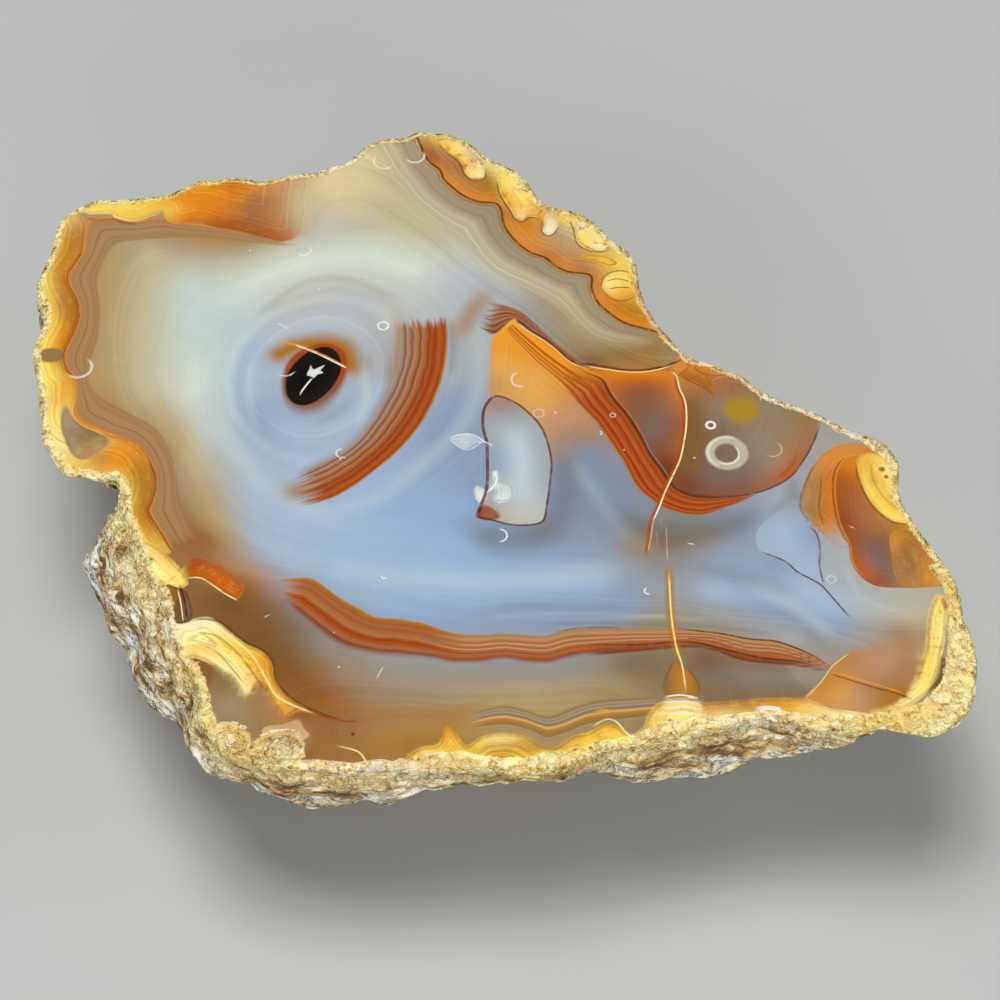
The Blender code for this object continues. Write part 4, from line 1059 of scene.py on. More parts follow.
BANDS: tuple[Band, ...] = (
    Band(
        "arc",
        (-1.4, 23, -1.1, 20, -1.2, 16, -1.8, 12.1, -3.2, 7.6, -5, 4, -7, 1.2, -9.2, -1.2, -12, -3.9,
         -14.8, -5.7, -18.6, -6.8),
        (-9.4, 24, -8.2, 20.6, -8.1, 16, -8.9, 12.1, -10.3, 8.2, -12, 4.7, -13.8, 2.6, -16, 1, -19.8, -1.4),
        ((0, T.FAWN), (0.04, T.SYRUP), (0.09, T.CHESTNUT), (0.14, T.SIENNA), (0.18, T.SIENNA),
         (0.23, T.CHESTNUT), (0.26, T.CHESTNUT), (0.3, T.SIENNA), (0.35, T.RUSSET), (0.38, T.SIENNA),
         (0.42, T.CLAY), (0.46, T.TAWNY), (0.49, T.RUSSET), (0.53, T.CLAY), (0.56, T.TAWNY), (0.59, T.ROSE),
         (0.63, T.PLUM), (0.66, T.CLAY), (0.7, T.DUSTY), (0.74, T.PLUM), (0.78, T.ROSE), (0.84, T.TAUPE),
         (0.87, T.TAWNY), (0.91, T.TAUPE), (1, T.TAUPE)),
        (0.4, 1.6), (2.4, 4.5), 0.1, 1),
    Band(
        "brow_lines",
        (3.3, 25.3, 7.1, 23.9, 9.2, 21.8, 11.3, 19.1, 13.2, 17, 15.4, 15),
        (1.7, 20.8, 4.4, 19.6, 6.6, 21.6, 8.7, 19.9, 10.3, 18.6, 12.9, 15.7, 14.6, 14.6),
        ((0, T.TAUPE), (0.1, T.FAWN), (0.16, T.RUSSET), (0.24, T.CLAY), (0.32, T.RUSSET), (0.38, T.FAWN),
         (0.46, T.COCOA), (0.54, T.CLAY), (0.62, T.RUSSET), (0.69, T.FAWN), (0.76, T.COCOA), (0.84, T.CLAY),
         (0.92, T.COCOA), (1, T.COCOA)),
        (0.5, 0.15), (2.6, 0.4), 0.3, 0.95),
    Band(
        "feather_lines",
        (6.4, 21.6, 8.4, 19.3, 10.6, 17, 12.8, 14.9, 14.8, 13.4, 17, 11.8),
        (5.3, 20, 6.8, 17.6, 8.6, 15, 10.6, 12.6, 12.4, 10.2, 14.4, 7.4),
        ((0, T.GOLD), (0.08, T.ORANGE), (0.15, T.CHESTNUT), (0.22, T.ORANGE), (0.29, T.AMBER),
         (0.36, T.RUSSET), (0.43, T.AMBER), (0.51, T.SIENNA), (0.58, T.AMBER), (0.66, T.COPPER),
         (0.75, T.APRICOT), (0.84, T.HONEY), (0.92, T.APRICOT), (1, T.APRICOT)),
        (0.2, 0.9), (0.7, 3.2), 0.2, 0.9),
    Band(
        "under_band",
        (9.6, 15.4, 12, 12, 13.9, 8.9, 16, 6, 17.9, 2.3, 19.2, -0.3, 20.5, -3.7, 22.4, -5.8, 23.7, -6.9,
         26.3, -7.8, 28.4, -7.8, 30.3, -7, 32.4, -6.1, 34.9, -4.6),
        (12.6, 16.6, 15, 14.2, 17.4, 12.8, 18.4, 10.2, 20.3, 7.05, 21.6, 4.2, 22.6, 1.5, 24.2, -1.4,
         25, -3.2, 26.8, -4.5, 28.9, -4.9, 31.6, -4.9, 33.2, -4.7, 34.9, -4.3),
        ((0, T.FAWN), (0.07, T.SYRUP), (0.13, T.CHESTNUT), (0.2, T.COPPER), (0.27, T.CHESTNUT),
         (0.32, T.CHESTNUT), (0.38, T.COPPER), (0.45, T.SIENNA), (0.52, T.CHESTNUT), (0.57, T.CHESTNUT),
         (0.63, T.COPPER), (0.7, T.SIENNA), (0.76, T.CHESTNUT), (0.84, T.SIENNA), (0.9, T.COCOA),
         (1, T.COCOA)),
        (0.45, 0.2), (9.5, 1.2), 0.3, 1),
    Band(
        "red_band",
        (-20.4, -16.9, -18.1, -16.6, -16.3, -16.6, -14.9, -17.5, -12.8, -19.4, -10.7, -20.8, -8.8, -22,
         -6.5, -22.2, -3.3, -22.9, -1.5, -23.7, 0.6, -24.3, 3, -24.4, 5.4, -24.2, 8, -24.4, 10.1, -24.5,
         11.7, -23.9, 13.8, -23.6, 20.1, -23.6, 26.4, -23.7, 29.6, -24.1, 32.5, -24.8, 35.4, -25.1,
         37.6, -26, 39.8, -27.3, 41.7, -28.7),
        (-21.4, -20, -19.7, -19.9, -17.6, -21.5, -15.7, -23.3, -13.9, -24.9, -12, -26, -9.2, -26.8,
         -6.7, -27.1, -3.3, -27.6, -0.2, -28.4, 2.7, -28.4, 5.4, -28, 8, -28.4, 10.4, -28.5, 12.2, -27.9,
         14.3, -27.4, 16.9, -27, 19.6, -26.6, 23, -26.4, 25.9, -26, 28.5, -26.3, 30.6, -27.3, 32.7, -27.9,
         35.9, -28.1, 38, -28.5, 40.4, -29, 41.5, -29.6),
        ((0, T.OLIVE), (0.06, T.TAWNY), (0.12, T.FAWN), (0.18, T.CAMEL), (0.23, T.TAWNY), (0.3, T.CLAY),
         (0.35, T.CAMEL), (0.4, T.TAWNY), (0.46, T.CLAY), (0.51, T.CAMEL), (0.56, T.CLAY), (0.63, T.SIENNA),
         (0.7, T.CLAY), (0.78, T.SIENNA), (0.86, T.RUSSET), (0.93, T.RUSSET), (1, T.PLUM)),
        (0.2, 0.8), (3.5, 0.4), 0.45, 1),
    Band(
        "red_left",
        (-20.4, -16.7, -18.1, -16.5, -16.3, -16.5, -14.9, -17.4, -12.8, -19.3, -10.7, -20.7, -8.8, -21.9,
         -6.5, -22.1, -3.3, -22.8, -1.5, -23.6, 0.6, -24.2, 3, -24.3),
        (-21.4, -20.4, -19.7, -20.4, -17.6, -22.1, -15.7, -24, -13.9, -25.7, -12, -26.8, -9.2, -27.5,
         -6.7, -27.8, -3.3, -28.1, -0.2, -28.8, 2.7, -28.8),
        ((0, T.TAWNY), (0.06, T.SYRUP), (0.14, T.SIENNA), (0.22, T.CLAY), (0.3, T.SIENNA), (0.38, T.CLAY),
         (0.45, T.TAWNY), (0.5, T.SIENNA), (0.56, T.CHESTNUT), (0.64, T.SIENNA), (0.72, T.CLAY),
         (0.8, T.RUSSET), (0.9, T.PLUM), (1, T.DUSTY)),
        (0.35, 1.5), (4.5, 7), 0.25, 1),
    Band(
        "red_right",
        (13.8, -25.4, 20.1, -25.5, 26.4, -25.2, 29.6, -25.8, 32.5, -26.6, 35.4, -27.1, 37.6, -27.6,
         41.6, -29.2),
        (14.3, -27.5, 19.6, -26.9, 25.9, -26.3, 28.5, -26.7, 30.6, -27.7, 32.7, -28.3, 35.9, -28.6,
         38, -28.9, 41.5, -29.8),
        ((0, T.CLAY), (0.3, T.SIENNA), (0.6, T.RUSSET), (0.8, T.COCOA), (1, T.COCOA)),
        (0.6, 0.3), (3.5, 0.4), 0.4, 0.9),
    Band(
        "lip_hem", LIP,
        (-13, 51.5, -10.4, 46, -7.8, 41.5, -4.6, 37.5, -1.6, 34.8, 0.2, 31.8, 2, 28.8, 5, 26.8, 8.5, 25,
         11.5, 22.4, 13, 19.9, 15.4, 17.6, 19.4, 16.6, 24.6, 17),
        ((0, T.TAWNY), (0.035, T.BARK), (0.08, T.HAY), (0.12, T.MUSHROOM), (0.17, T.HAY), (0.22, T.TAUPE),
         (0.26, T.MUSHROOM), (0.3, T.HAY), (0.35, T.HAY), (0.4, T.OAT), (0.45, T.LINEN), (0.5, T.OAT),
         (0.56, T.OAT), (0.6, T.LINEN), (0.68, T.OAT), (0.74, T.LINEN), (0.8, T.OAT), (1, T.OAT)),
        (0.1, 3.6), (0.6, 2.5), 0.3, 0.75),
    Band(
        "left_hem",
        (-19, 34.6, -22.9, 35, -25.05, 35.8, -29.8, 37.2, -33.5, 37.9, -36.9, 39, -40, 38.3, -42.9, 38.9,
         -46, 38.4, -46.3, 35.5, *LEFT),
        (-19, 33.8, -22, 33.9, -27, 34.6, -31, 35.2, -35, 35.2, -39.3, 34.8, -42.2, 34.1, -43.3, 31.2,
         -43.8, 28.5, -43.3, 25.9, -42.9, 22.7, -42.9, 19, -43.3, 16.5, -43.6, 14, -43.2, 11.6, -41.4, 9.6,
         -39, 8, -36.8, 6.6, -35.1, 5.3, -33.6, 2.9, -32.6, 0, -31.9, -3.2, -31.4, -6, -30.2, -9,
         -28.8, -12.2),
        ((0, T.EMBER), (0.06, T.HONEY), (0.13, T.TAWNY), (0.22, T.FAWN), (0.36, T.FAWN), (0.42, T.TOFFEE),
         (0.5, T.FAWN), (0.66, T.FAWN), (0.74, T.TOFFEE), (0.82, T.FAWN), (0.92, T.TOFFEE),
         (0.97, T.TOFFEE), (1, T.HAY)),
        (0.1, 0.4), (4, 2.5), 0.3, 0.85),
    Band(
        "waves",
        (0.5, -35.6, 2.5, -34.4, 5.5, -33.6, 8, -34.2, 10.1, -35, 12.5, -34, 15.5, -32.9, 19, -32.6,
         23, -32.4),
        (0.5, -37.6, 3, -37.2, 5.5, -37, 8, -37.6, 10, -38.8, 12.4, -38, 14.7, -37, 18, -36.4, 23, -35.6),
        ((0, T.KHAKI), (0.08, T.TOFFEE), (0.14, T.OLIVE), (0.2, T.STONE), (0.28, T.MUSHROOM),
         (0.34, T.STONE), (0.4, T.OLIVE), (0.46, T.STONE), (0.52, T.APRICOT), (0.58, T.OCHRE),
         (0.68, T.SYRUP), (0.76, T.OLIVE), (0.84, T.STONE), (0.92, T.OCHRE), (1, T.STONE)),
        (0.6, 0.6), (3, 2), 0.4, 0.85),
)

INKS: tuple[Ink, ...] = (
    Ink("dark_line", T.WINE, [
        Vein((4.2, 10.05, 5.2, 9.95, 7.05, 8.85, 8.6, 7.15, 9.8, 5.35, 10.55, 2.9, 10.95, 0, 10.75, -2.9,
              10.35, -6.3, 10, -8.4, 9.2, -8.95, 7.6, -9.15, 6, -9, 4.3, -8.45, 2.45, -7.95),
             0.17, 0.8, 0.3),
        Vein((2.5, -7.6, 2.8, -6.3, 3.3, -4.7, 3.55, -2.9, 3.55, 0, 3.45, 3.2, 3.05, 5, 3, 7.1, 3.35, 8.7,
              4.2, 10.05), 0.24, 0.85, 0.3),
        Vein((24.6, -3.2, 26.8, -4.55, 28.9, -4.95, 31.6, -4.95, 33.2, -4.75, 35.3, -4.15, 37.4, -3,
              38.9, -1.65, 40, 0.15, 40.8, 1.55, 41.8, 3.95, 42.4, 5.8), 0.14, 0.8, 2),
        Vein((34.2, -12.8, 37.1, -14.2, 38.4, -15.7, 40.8, -17.4, 41.7, -18.6, 42.9, -20.5, 44.1, -22.4),
             0.13, 0.85, 1.6),
        Vein((14.2, 14.9, 15.5, 15, 17.4, 14.55, 19.5, 14.15, 21.6, 14.05, 23.7, 14.4, 25.3, 15, 27.3, 16),
             0.2, 0.8, 1),
        Vein((7, 22.1, 8.8, 20.2, 10.4, 18.9, 11.7, 17.6, 13, 16, 14.2, 15), 0.18, 0.8, 0.5),
        Vein((-5.6, 53, -4.9, 50.9, -4.4, 49.3, -3.5, 47.9, -2.5, 46.9, -2, 45.3, -1, 44, 0.5, 42.45,
              2.3, 41.45, 4.5, 41.15, 5.15, 39.9, 5.35, 38.1, 5.95, 36.4, 7.1, 34.55, 8.7, 32.95,
              10.5, 32.05, 11.6, 30.85, 13.2, 29.75, 15.95, 29.2, 16.05, 27.3, 16.35, 26, 16.95, 24.5,
              18.5, 22.7, 20.1, 21.4, 22.1, 20.65, 24.5, 19.8), 0.2, 0.8),
        Vein((-46, 33.3, -46.8, 31.2, -47.6, 29.1, -47.1, 27.2, -46.3, 25.6, -45.7, 23.5, -45.7, 21.2,
              -46.3, 19, -46.9, 16.4, -46.3, 14, -45.2, 13), 0.16, 0.55),
        Vein((-40.4, 4, -38.3, 3.3, -36.7, 2, -35.4, -0.2, -34.6, -2.8, -34.8, -5.5, -35.2, -7.05,
              -34.1, -9.2, -33.1, -11, -32, -13.1), 0.16, 0.6),
        Vein((14, -25.7, 20, -25.8, 26, -25.4, 30, -26.5, 34, -27.6, 38, -28.1, 41, -29.2), 0.16, 0.8, 4),
        Vein((24, -23.5, 29.6, -24.3, 32.5, -25, 35.4, -25.3, 37.6, -26.2, 39.8, -27.5, 41.6, -29),
             0.14, 0.8, 3),
        Vein((-30.9, -17.6, -30.2, -19.9, -29.8, -22.2), 0.16, 0.9, 0.4),
        Vein((44.9, 0.9, 43.6, -1.3, 43.2, -3.9, 43.2, -6.5, 43.5, -9.2, 44.4, -12), 0.1, 0.6, 1),
        Vein((41.2, -29.7, 43.3, -30.5, 45.6, -31.4, 48.3, -32.3, 50, -33.1), 0.12, 0.6, 0.6),
        Vein((-29.2, -22.2, -26.2, -22.6, -24.8, -23.9, -23, -25.5, -21.2, -26.5, -20, -28.1, -19.6, -30.3,
              -18.5, -32.1, -16.7, -33.7, -14, -35.1, -12, -35.8), 0.16, 0.6, 1),
        Vein((18, 28.2, 19.2, 28.6, 20.8, 28.1), 0.12, 0.7, 0.3),
        Vein((20.8, 27.1, 19.4, 27.2, 18.2, 26.9), 0.12, 0.7, 0.3),
    ]),
    Ink("brown_line", T.UMBER, [
        Vein((40, -9.2, 40.9, -10.2, 41.2, -12.3, 41, -15, 41.3, -17.5), 0.15, 0.8, 0.8),
        Vein((-2.9, 51.7, -1.9, 50, -0.7, 48.9, 0.1, 47.6, 0.5, 46.1, 1.6, 45.1, 3, 45.3, 3.3, 46.8),
             0.13, 0.7, 0.6),
        Vein((4.7, 45, 4.8, 43.4, 5.4, 41.6, 6.3, 39.8, 6.8, 38.5, 7.8, 38, 8.6, 38.8, 9.8, 38.6),
             0.14, 0.7, 0.6),
        Vein((10.2, 38.2, 10.1, 36.4, 11.2, 35.6, 12.3, 37.2), 0.12, 0.7, 0.4),
        Vein((13.6, 38.4, 14.1, 36.4, 14.4, 34.5, 15.5, 33.4, 17.4, 33, 18.8, 33.6), 0.14, 0.7, 0.6),
        Vein((17.2, 27.2, 17.7, 29, 19.2, 29.9, 20.9, 29.5, 21.8, 28), 0.13, 0.7, 0.5),
        Vein((17.6, 26.6, 18.4, 25.4, 20, 25, 21.6, 26), 0.12, 0.6, 0.5),
        Vein((46.2, 0, 46.2, -1.9, 46.8, -4.5, 47.9, -6.9, 49.7, -8.7, 51.8, -9), 0.14, 0.7, 0.6),
        Vein((51.4, -7.6, 49.2, -5.4, 48, -2.6, 47.9, -0.2), 0.12, 0.3, 0.6),
        Vein((24.1, -28.1, 23.2, -30, 22.8, -32), 0.14, 0.6, 0.5),
        Vein((25.3, -28.8, 26.1, -29.7, 26.8, -31.4, 26.6, -32.6), 0.14, 0.6, 0.5),
        Vein((53.9, -27.2, 53.5, -29.6, 52.7, -31.2, 51.8, -32.2), 0.34, 0.95, 0.6),
        Vein((11, -24.1, 14, -23.5, 19, -23.5), 0.14, 0.7, 1.5),
        Vein((41.4, -0.2, 40.2, -2.8, 39.4, -5.6, 39.5, -7.4, 40.4, -8.6), 0.16, 0.6, 0.8),
        Vein((42.1, -2, 41.7, -4.6, 41.5, -7.2, 41.9, -9.4), 0.14, 0.6, 0.8),
        Vein((26.2, 13.1, 27.8, 12.1, 29.2, 11.2, 30.3, 10.1), 0.14, 0.7, 0.5),
        Vein((28.2, 15.2, 28.2, 14.2, 29.2, 13.4, 30.8, 13.2, 32, 13.4), 0.12, 0.6, 0.4),
        Vein((-28.8, -24, -26.4, -24.6, -24, -26.8, -22.2, -29.4, -20.9, -31.6), 0.15, 0.5, 0.8),
        Vein((-23, -31, -24.6, -28.8, -26.4, -26.6, -28.6, -25.6), 0.13, 0.5, 0.8),
        Vein((-48.2, 5.2, -46.4, 3.4, -44.4, 2.4), 0.12, 0.4, 0.6),
        Vein((-45.9, 38.6, -44.6, 38.3, -42.6, 38.5, -41.6, 37.9, -39.6, 37.6), 0.22, 0.55, 0.5),
    ]),
    Ink("halo_line", T.SYRUP, [
        Vein((23.95, -14.4, 24, -17.9, 24, -21.6, 24.15, -23.7, 24.45, -26.3, 24.9, -28.6),
             0.75, 0.85, 1.6),
        Vein((21.95, -9, 21.75, -11.3, 21.5, -13.6), 0.4, 0.9, 0.7),
    ], 0.9),
    Ink("red_line", T.BRICK, [
        Vein((54.5, -14.6, 54.9, -16.4, 54.6, -18), 0.5, 0.8, 0.5),
        Vein((54.4, -19.4, 54.8, -21.2), 0.4, 0.75, 0.4),
        Vein((-20.1, 14.2, -19.2, 15.9, -17.8, 17.4, -16, 18, -14.5, 17.4, -13.6, 15.8, -13.6, 13.4,
              -14.6, 11), 0.22, 0.8, 0.8),
        Vein((-33.5, 37.8, -32.2, 38, -31.1, 37.6, -29.8, 37.1, -27.7, 36.6, -25.05, 35.7, -22.9, 34.9,
              -21.1, 34.7), 0.14, 0.6, 1),
        Vein((-16.3, -34.2, -14.2, -35.3, -12, -35.9, -10.1, -36), 0.2, 0.9, 0.6),
        Vein((25.7, 13, 25.9, 11.3, 26.4, 9.7, 26.6, 8.1, 26.5, 5.5, 26.1, 2.8, 25.6, 0.5, 24.8, -1.6,
              23.7, -4.3, 23, -6.4, 22.2, -8.5, 21.8, -11.3, 21.5, -13.2), 0.3, 0.8, 0.6),
        Vein((36.8, -2.4, 38.3, -1, 39.5, 1.3), 0.35, 0.55, 1),
    ], 0.7),
    Ink("gold_line", T.AMBER, [
        Vein((46.8, 1.1, 45.1, 0.7, 43.9, -1.3, 43.5, -3.9, 43.5, -6.5, 43.8, -9.2, 44.7, -12, 44.7, -13.9,
              45.2, -15.4, 46.1, -16.8), 0.13, 0.6, 2),
        Vein((24, -15, 24.05, -21.6, 24.2, -23.7, 24.5, -26.3, 24.95, -28.4), 0.26, 0.6, 1.5),
        Vein((-21.6, 18.6, -19.6, 18.1, -17, 16.9, -14.9, 15.6, -13.2, 14.4), 0.24, 0.9, 0.5),
        Vein((15.2, -34.8, 16.2, -34.4, 17.1, -34.6), 0.18, 0.7, 0.4),
        Vein((-45.8, 7.6, -44, 5.9, -42, 4.9, -39.6, 3.8, -37.4, 2.7, -36.1, 1, -35.4, -0.8),
             0.18, 0.6, 1.2),
        Vein((42.2, -29.6, 44, -30.3, 46.4, -31.2, 49, -32.2), 0.17, 0.7, 0.6),
    ], 0.6),
    Ink("pale_line", T.STRAW, [
        Vein((25.3, 13.8, 25.9, 13.1, 26.15, 11.3, 26.65, 9.7, 26.85, 8.1, 26.75, 5.5, 26.35, 2.8,
              25.85, 0.5, 25.05, -1.6, 23.95, -4.3, 23.25, -6.4, 22.45, -8.5), 0.13, 0.95, 0.4),
        Vein((22.45, -8.5, 22.05, -11.3, 21.7, -12.9), 0.09, 0.5, 0.5),
        Vein((23.9, -9.2, 23.9, -14.4), 0.1, 0.3, 0.8),
        Vein((24, -16, 24.05, -21.6, 24.2, -23.7, 24.5, -26.3, 25, -28.4, 25.2, -30.5, 25.3, -32.2),
             0.12, 0.8, 1.5),
        Vein((7.1, 21.3, 8.7, 19.9, 10.3, 18.6, 11.6, 17.3, 12.9, 15.7, 14.2, 14.7, 15.1, 14.4),
             0.08, 0.6, 0.4),
        Vein((15.4, 14.6, 17.4, 14.2, 19.5, 13.8, 21.6, 13.7, 23.7, 14.1, 25.3, 14.7), 0.1, 0.75, 0.4),
        Vein((15.1, -36.6, 16.4, -35.7, 17.5, -35.9, 18.8, -37.6, 20.1, -38.7), 0.14, 0.8, 0.4),
        Vein((-12.6, -39.1, -10.2, -39.9, -9.2, -41.6), 0.14, 0.7, 0.5),
        Vein((-29.2, -23, -26.6, -23.4, -24.4, -25, -22.2, -27.4, -20.6, -30.4, -19.4, -32.6, -17.2, -34,
              -15, -35), 0.16, 0.7, 1.6),
        Vein((-22.8, -30, -24.6, -27.8, -26.4, -25.9, -28.8, -25), 0.2, 0.7, 0.8),
        Vein((-28.6, -26.7, -26.6, -27.7, -24.8, -29.6), 0.18, 0.6, 0.8),
        Vein((-31.1, -18.2, -30.6, -20.2, -30.2, -22.6), 0.1, 0.8, 0.4),
        Vein((-38.4, -10.4, -36.4, -11.6, -34.4, -14, -32.8, -17), 0.16, 0.5, 0.5),
        Vein((-30.2, -16.6, -28.6, -16.6, -27.1, -17.7, -25.5, -19, -24.3, -19.7), 0.12, 0.8, 0.4),
        Vein((-46.2, 39.4, -42.9, 39.4, -42.6, 38.8, -40, 38.2, -37, 39.6), 0.12, 0.5, 0.4),
        Vein((38.3, -32.9, 40.2, -30.7, 41.5, -28.7, 43.5, -26.9), 0.1, 0.5, 0.6),
    ], 0.5),
    Ink("white_line", T.SNOW, [
        Vein((23, -32.7, 24.8, -32.5, 26.6, -32.9), 0.12, 0.9, 0.3),
        Vein((26.8, -33.6, 24.9, -33.3, 22.8, -33.5), 0.13, 0.7, 0.3),
        Vein((22.6, -34.3, 24.8, -34.1, 27, -34.4), 0.13, 0.6, 0.3),
        Vein((27.6, -35.2, 24.6, -34.9, 21.4, -35.1), 0.11, 0.5, 0.5),
        Vein((-21.7, 21.4, -20.8, 20.9, -20.3, 20.3), 0.1, 0.6, 0.3),
        Vein((5.3, -5.6, 4.6, -6.2), 0.09, 0.6, 0.2),
        Vein((-19.4, 17.95, -17, 16.75, -14.9, 15.45, -13.2, 14.35), 0.11, 0.95, 0.4),
        # The long lower ray of the glint in the black eye: a painted reflection.
        Vein((-17.1, 12.9, -17.7, 12, -18.6, 10.3), 0.13, 0.95, 0.4),
        Vein((-21.2, 13.25, -20, 13.15, -19.3, 13.8), 0.11, 0.7, 0.3),
        Vein((-0.85, 3.6, 0.2, 4.15, 1.4, 4.25, 2.3, 3.9, 3, 3.3, 4.3, 2.4), 0.1, 0.85, 0.4),
        Vein((-0.85, 3.5, 0.3, 2.3, 1.25, 1.85, 2.2, 2.4, 3, 3.1), 0.09, 0.6, 0.4),
        Vein((4.45, -1.3, 4.6, -2.6, 4.2, -3.6, 3.5, -4.4), 0.13, 0.95, 0.3),
        Vein((-21.2, -22.1, -20.7, -21.6), 0.09, 0.6, 0.2),
        Vein((-8.5, -30.2, -7.8, -28.7), 0.09, 0.6, 0.3),
        Vein((26.2, -11.7, 27.1, -11.9), 0.1, 0.7, 0.2),
        Vein((44.7, -9.2, 45.3, -9.6), 0.08, 0.6, 0.2),
        Vein((32.6, -34.4, 34.3, -34.2, 35.8, -34.5), 0.34, 0.8, 0.6),
    ], 0.35),
)

RINGS: tuple[Ring, ...] = (
    Ring(-19, 33.3, 0.85, 0.13, 0.6, -60),
    Ring(-9, 21, 0.62, 0.14, 0.75),
    Ring(-5.7, 49.4, 1.2, 0.16, 0.6, -60),
    Ring(-9.5, 48.5, 1.35, 0.15, 0.5, 230),
    Ring(-13.4, 1.4, 0.6, 0.12, 0.7, 170),
    Ring(-13.2, 0.5, 0.3, 0.1, 0.6, 120),
    Ring(21.6, -18.4, 0.42, 0.12, 0.75, 200),
    Ring(-8, -16.4, 0.28, 0.11, 0.6, 240),
    Ring(-45, 14.5, 1.6, 0.2, 0.55, -40),
    Ring(7.45, 12.6, 1.1, 0.14, 0.55, 200),
    Ring(9.55, 7.4, 0.6, 0.09, 0.35),
    Ring(29.6, 5.6, 0.5, 0.18, 0.9),
    Ring(29.6, 5.6, 0, 0.2, 0.8, None, T.UMBER),
    Ring(33.3, 7.9, 0, 2.3, 0.9, None, T.MUSTARD),
    Ring(31.3, 1.4, 1.95, 0.62, 0.85, None, T.LINEN),
    Ring(31.4, 1.5, 2.3, 0.25, 0.45, 150, T.SNOW),
    Ring(31.2, 1.3, 1.5, 0.14, 0.7, -40, T.IVORY),
    Ring(36.2, 9.4, 0.6, 0.1, 0.5, 100),
    Ring(4.9, -10.6, 0.9, 0.13, 0.75, 0),
    Ring(42.2, -16.8, 0.5, 0.09, 0.4),
    Ring(36.6, 2, 1.1, 0.08, 0.4, -30),
    Ring(11.5, 7.5, 0, 0.16, 0.5),
    Ring(27.5, 0.7, 0, 0.16, 0.6),
    Ring(18.2, 7.1, 0.3, 0.08, 0.5),
    Ring(19.4, 1.9, 0, 0.13, 0.5),
    Ring(16.6, 4.4, 0.25, 0.1, 0.7, 0),
    Ring(-25.6, 33.3, 0, 0.14, 0.6),
    Ring(-16.9, 26.9, 0, 0.14, 0.7),
    Ring(-10.9, -37.6, 0, 0.26, 0.9, None, T.MAHOGANY),
    Ring(-12.7, -28.8, 0, 0.13, 0.6),
    Ring(-13.4, -24.1, 0, 0.11, 0.5),
    Ring(49.1, -1, 0, 0.4, 0.8, None, T.MAHOGANY),
    Ring(49.5, -2.1, 0, 0.3, 0.8, None, T.MAHOGANY),
)

# Where the porous crust reaches into the cut, beyond the narrow chipped rim that runs all round.
CRUST_PATCHES: list[Patch] = [
    Patch(
        ((-27.5, -38.4), (-24.4, -38.8), (-22, -40.6), (-17, -41.6), (-11, -41.4), (-5, -41), (-3, -39.9),
         (0, -40), (3, -40.6), (7, -40.8), (10, -39.9), (13, -39.6), (15, -39.2), (18, -38.9), (20, -37.6),
         (22, -36.3), (25, -35.6), (28, -35.4), (32, -35.1), (36, -34.7), (40, -35.1), (45, -35),
         (48.6, -34.1), (51, -33.3), (52.9, -31.2), (54.2, -27.6), (54.8, -23.6), (55, -19.8), (54.4, -17),
         (53.6, -14.6), (60, -14), (62, -40), (20, -46), (-28, -46)),
        ()),
    Patch(
        ((-40, -9), (-37.2, -9.6), (-36.4, -12.4), (-34.2, -16.6), (-32.8, -18.8), (-31.6, -23),
         (-29.8, -26.8), (-28.2, -28.6), (-27, -31.4), (-26.4, -34.4), (-25, -38.4), (-30, -40),
         (-36, -26)),
        ()),
    Patch(
        ((42.6, 8.8), (43.4, 5.6), (45.6, 3.9), (47.8, 2.6), (49.4, 0.6), (50, -1.6), (50.2, -4), (52, -4),
         (54, 2), (48, 8)),
        ()),
    Patch(
        ((-1, 55), (1.8, 50.6), (4.4, 47.6), (7.6, 44.6), (9, 42.2), (11, 39.6), (14.4, 38.6), (17.4, 35.6),
         (19.4, 32.8), (21, 31.2), (24, 31), (20, 42), (4, 56)),
        ()),
]
CRUST_TINTS: tuple[Stroke, ...] = (
    Stroke((-48, 41, -40, 42.3, -32, 45, -24, 45.2), (T.STRAW, T.STRAW, T.YELLOW, T.STRAW)),
    Stroke((-22, 46.4, -14, 49, -9, 52.2), T.IVORY),
    Stroke((-3, 53.6, 4, 48.6, 10, 42, 17, 37.6, 22, 30), T.STRAW),
    Stroke((22.4, 26, 25.9, 18.8, 30, 15.4, 37, 10.2, 44, 6.6), (T.APRICOT, T.IVORY, T.IVORY, T.IVORY)),
    Stroke((46, 5, 50.6, 2, 51, -3), (T.IVORY, T.STRAW, T.STRAW)),
    Stroke((53.4, -11, 56, -17, 56.6, -25, 56.6, -32), T.STRAW),
    Stroke((53, -36, 44, -36.4, 34, -35.6, 26, -37), (T.STRAW, T.STRAW, T.IVORY, T.STRAW)),
    Stroke((18, -39, 8, -42, -8, -42, -20, -41), (T.STRAW, T.STRAW, T.IVORY, T.STRAW)),
    Stroke((-20, -36.8, -17, -37.2), T.BUFF),
    Stroke((-26, -37, -28, -32, -31.5, -24, -35, -15), (T.STRAW, T.STRAW, T.IVORY, T.STRAW)),
    Stroke((-38.4, -6, -42, -2.5, -48, 2.4, -50, 12), T.STRAW),
    Stroke((-51, 17, -51.4, 28, -50, 36), T.STRAW),
)


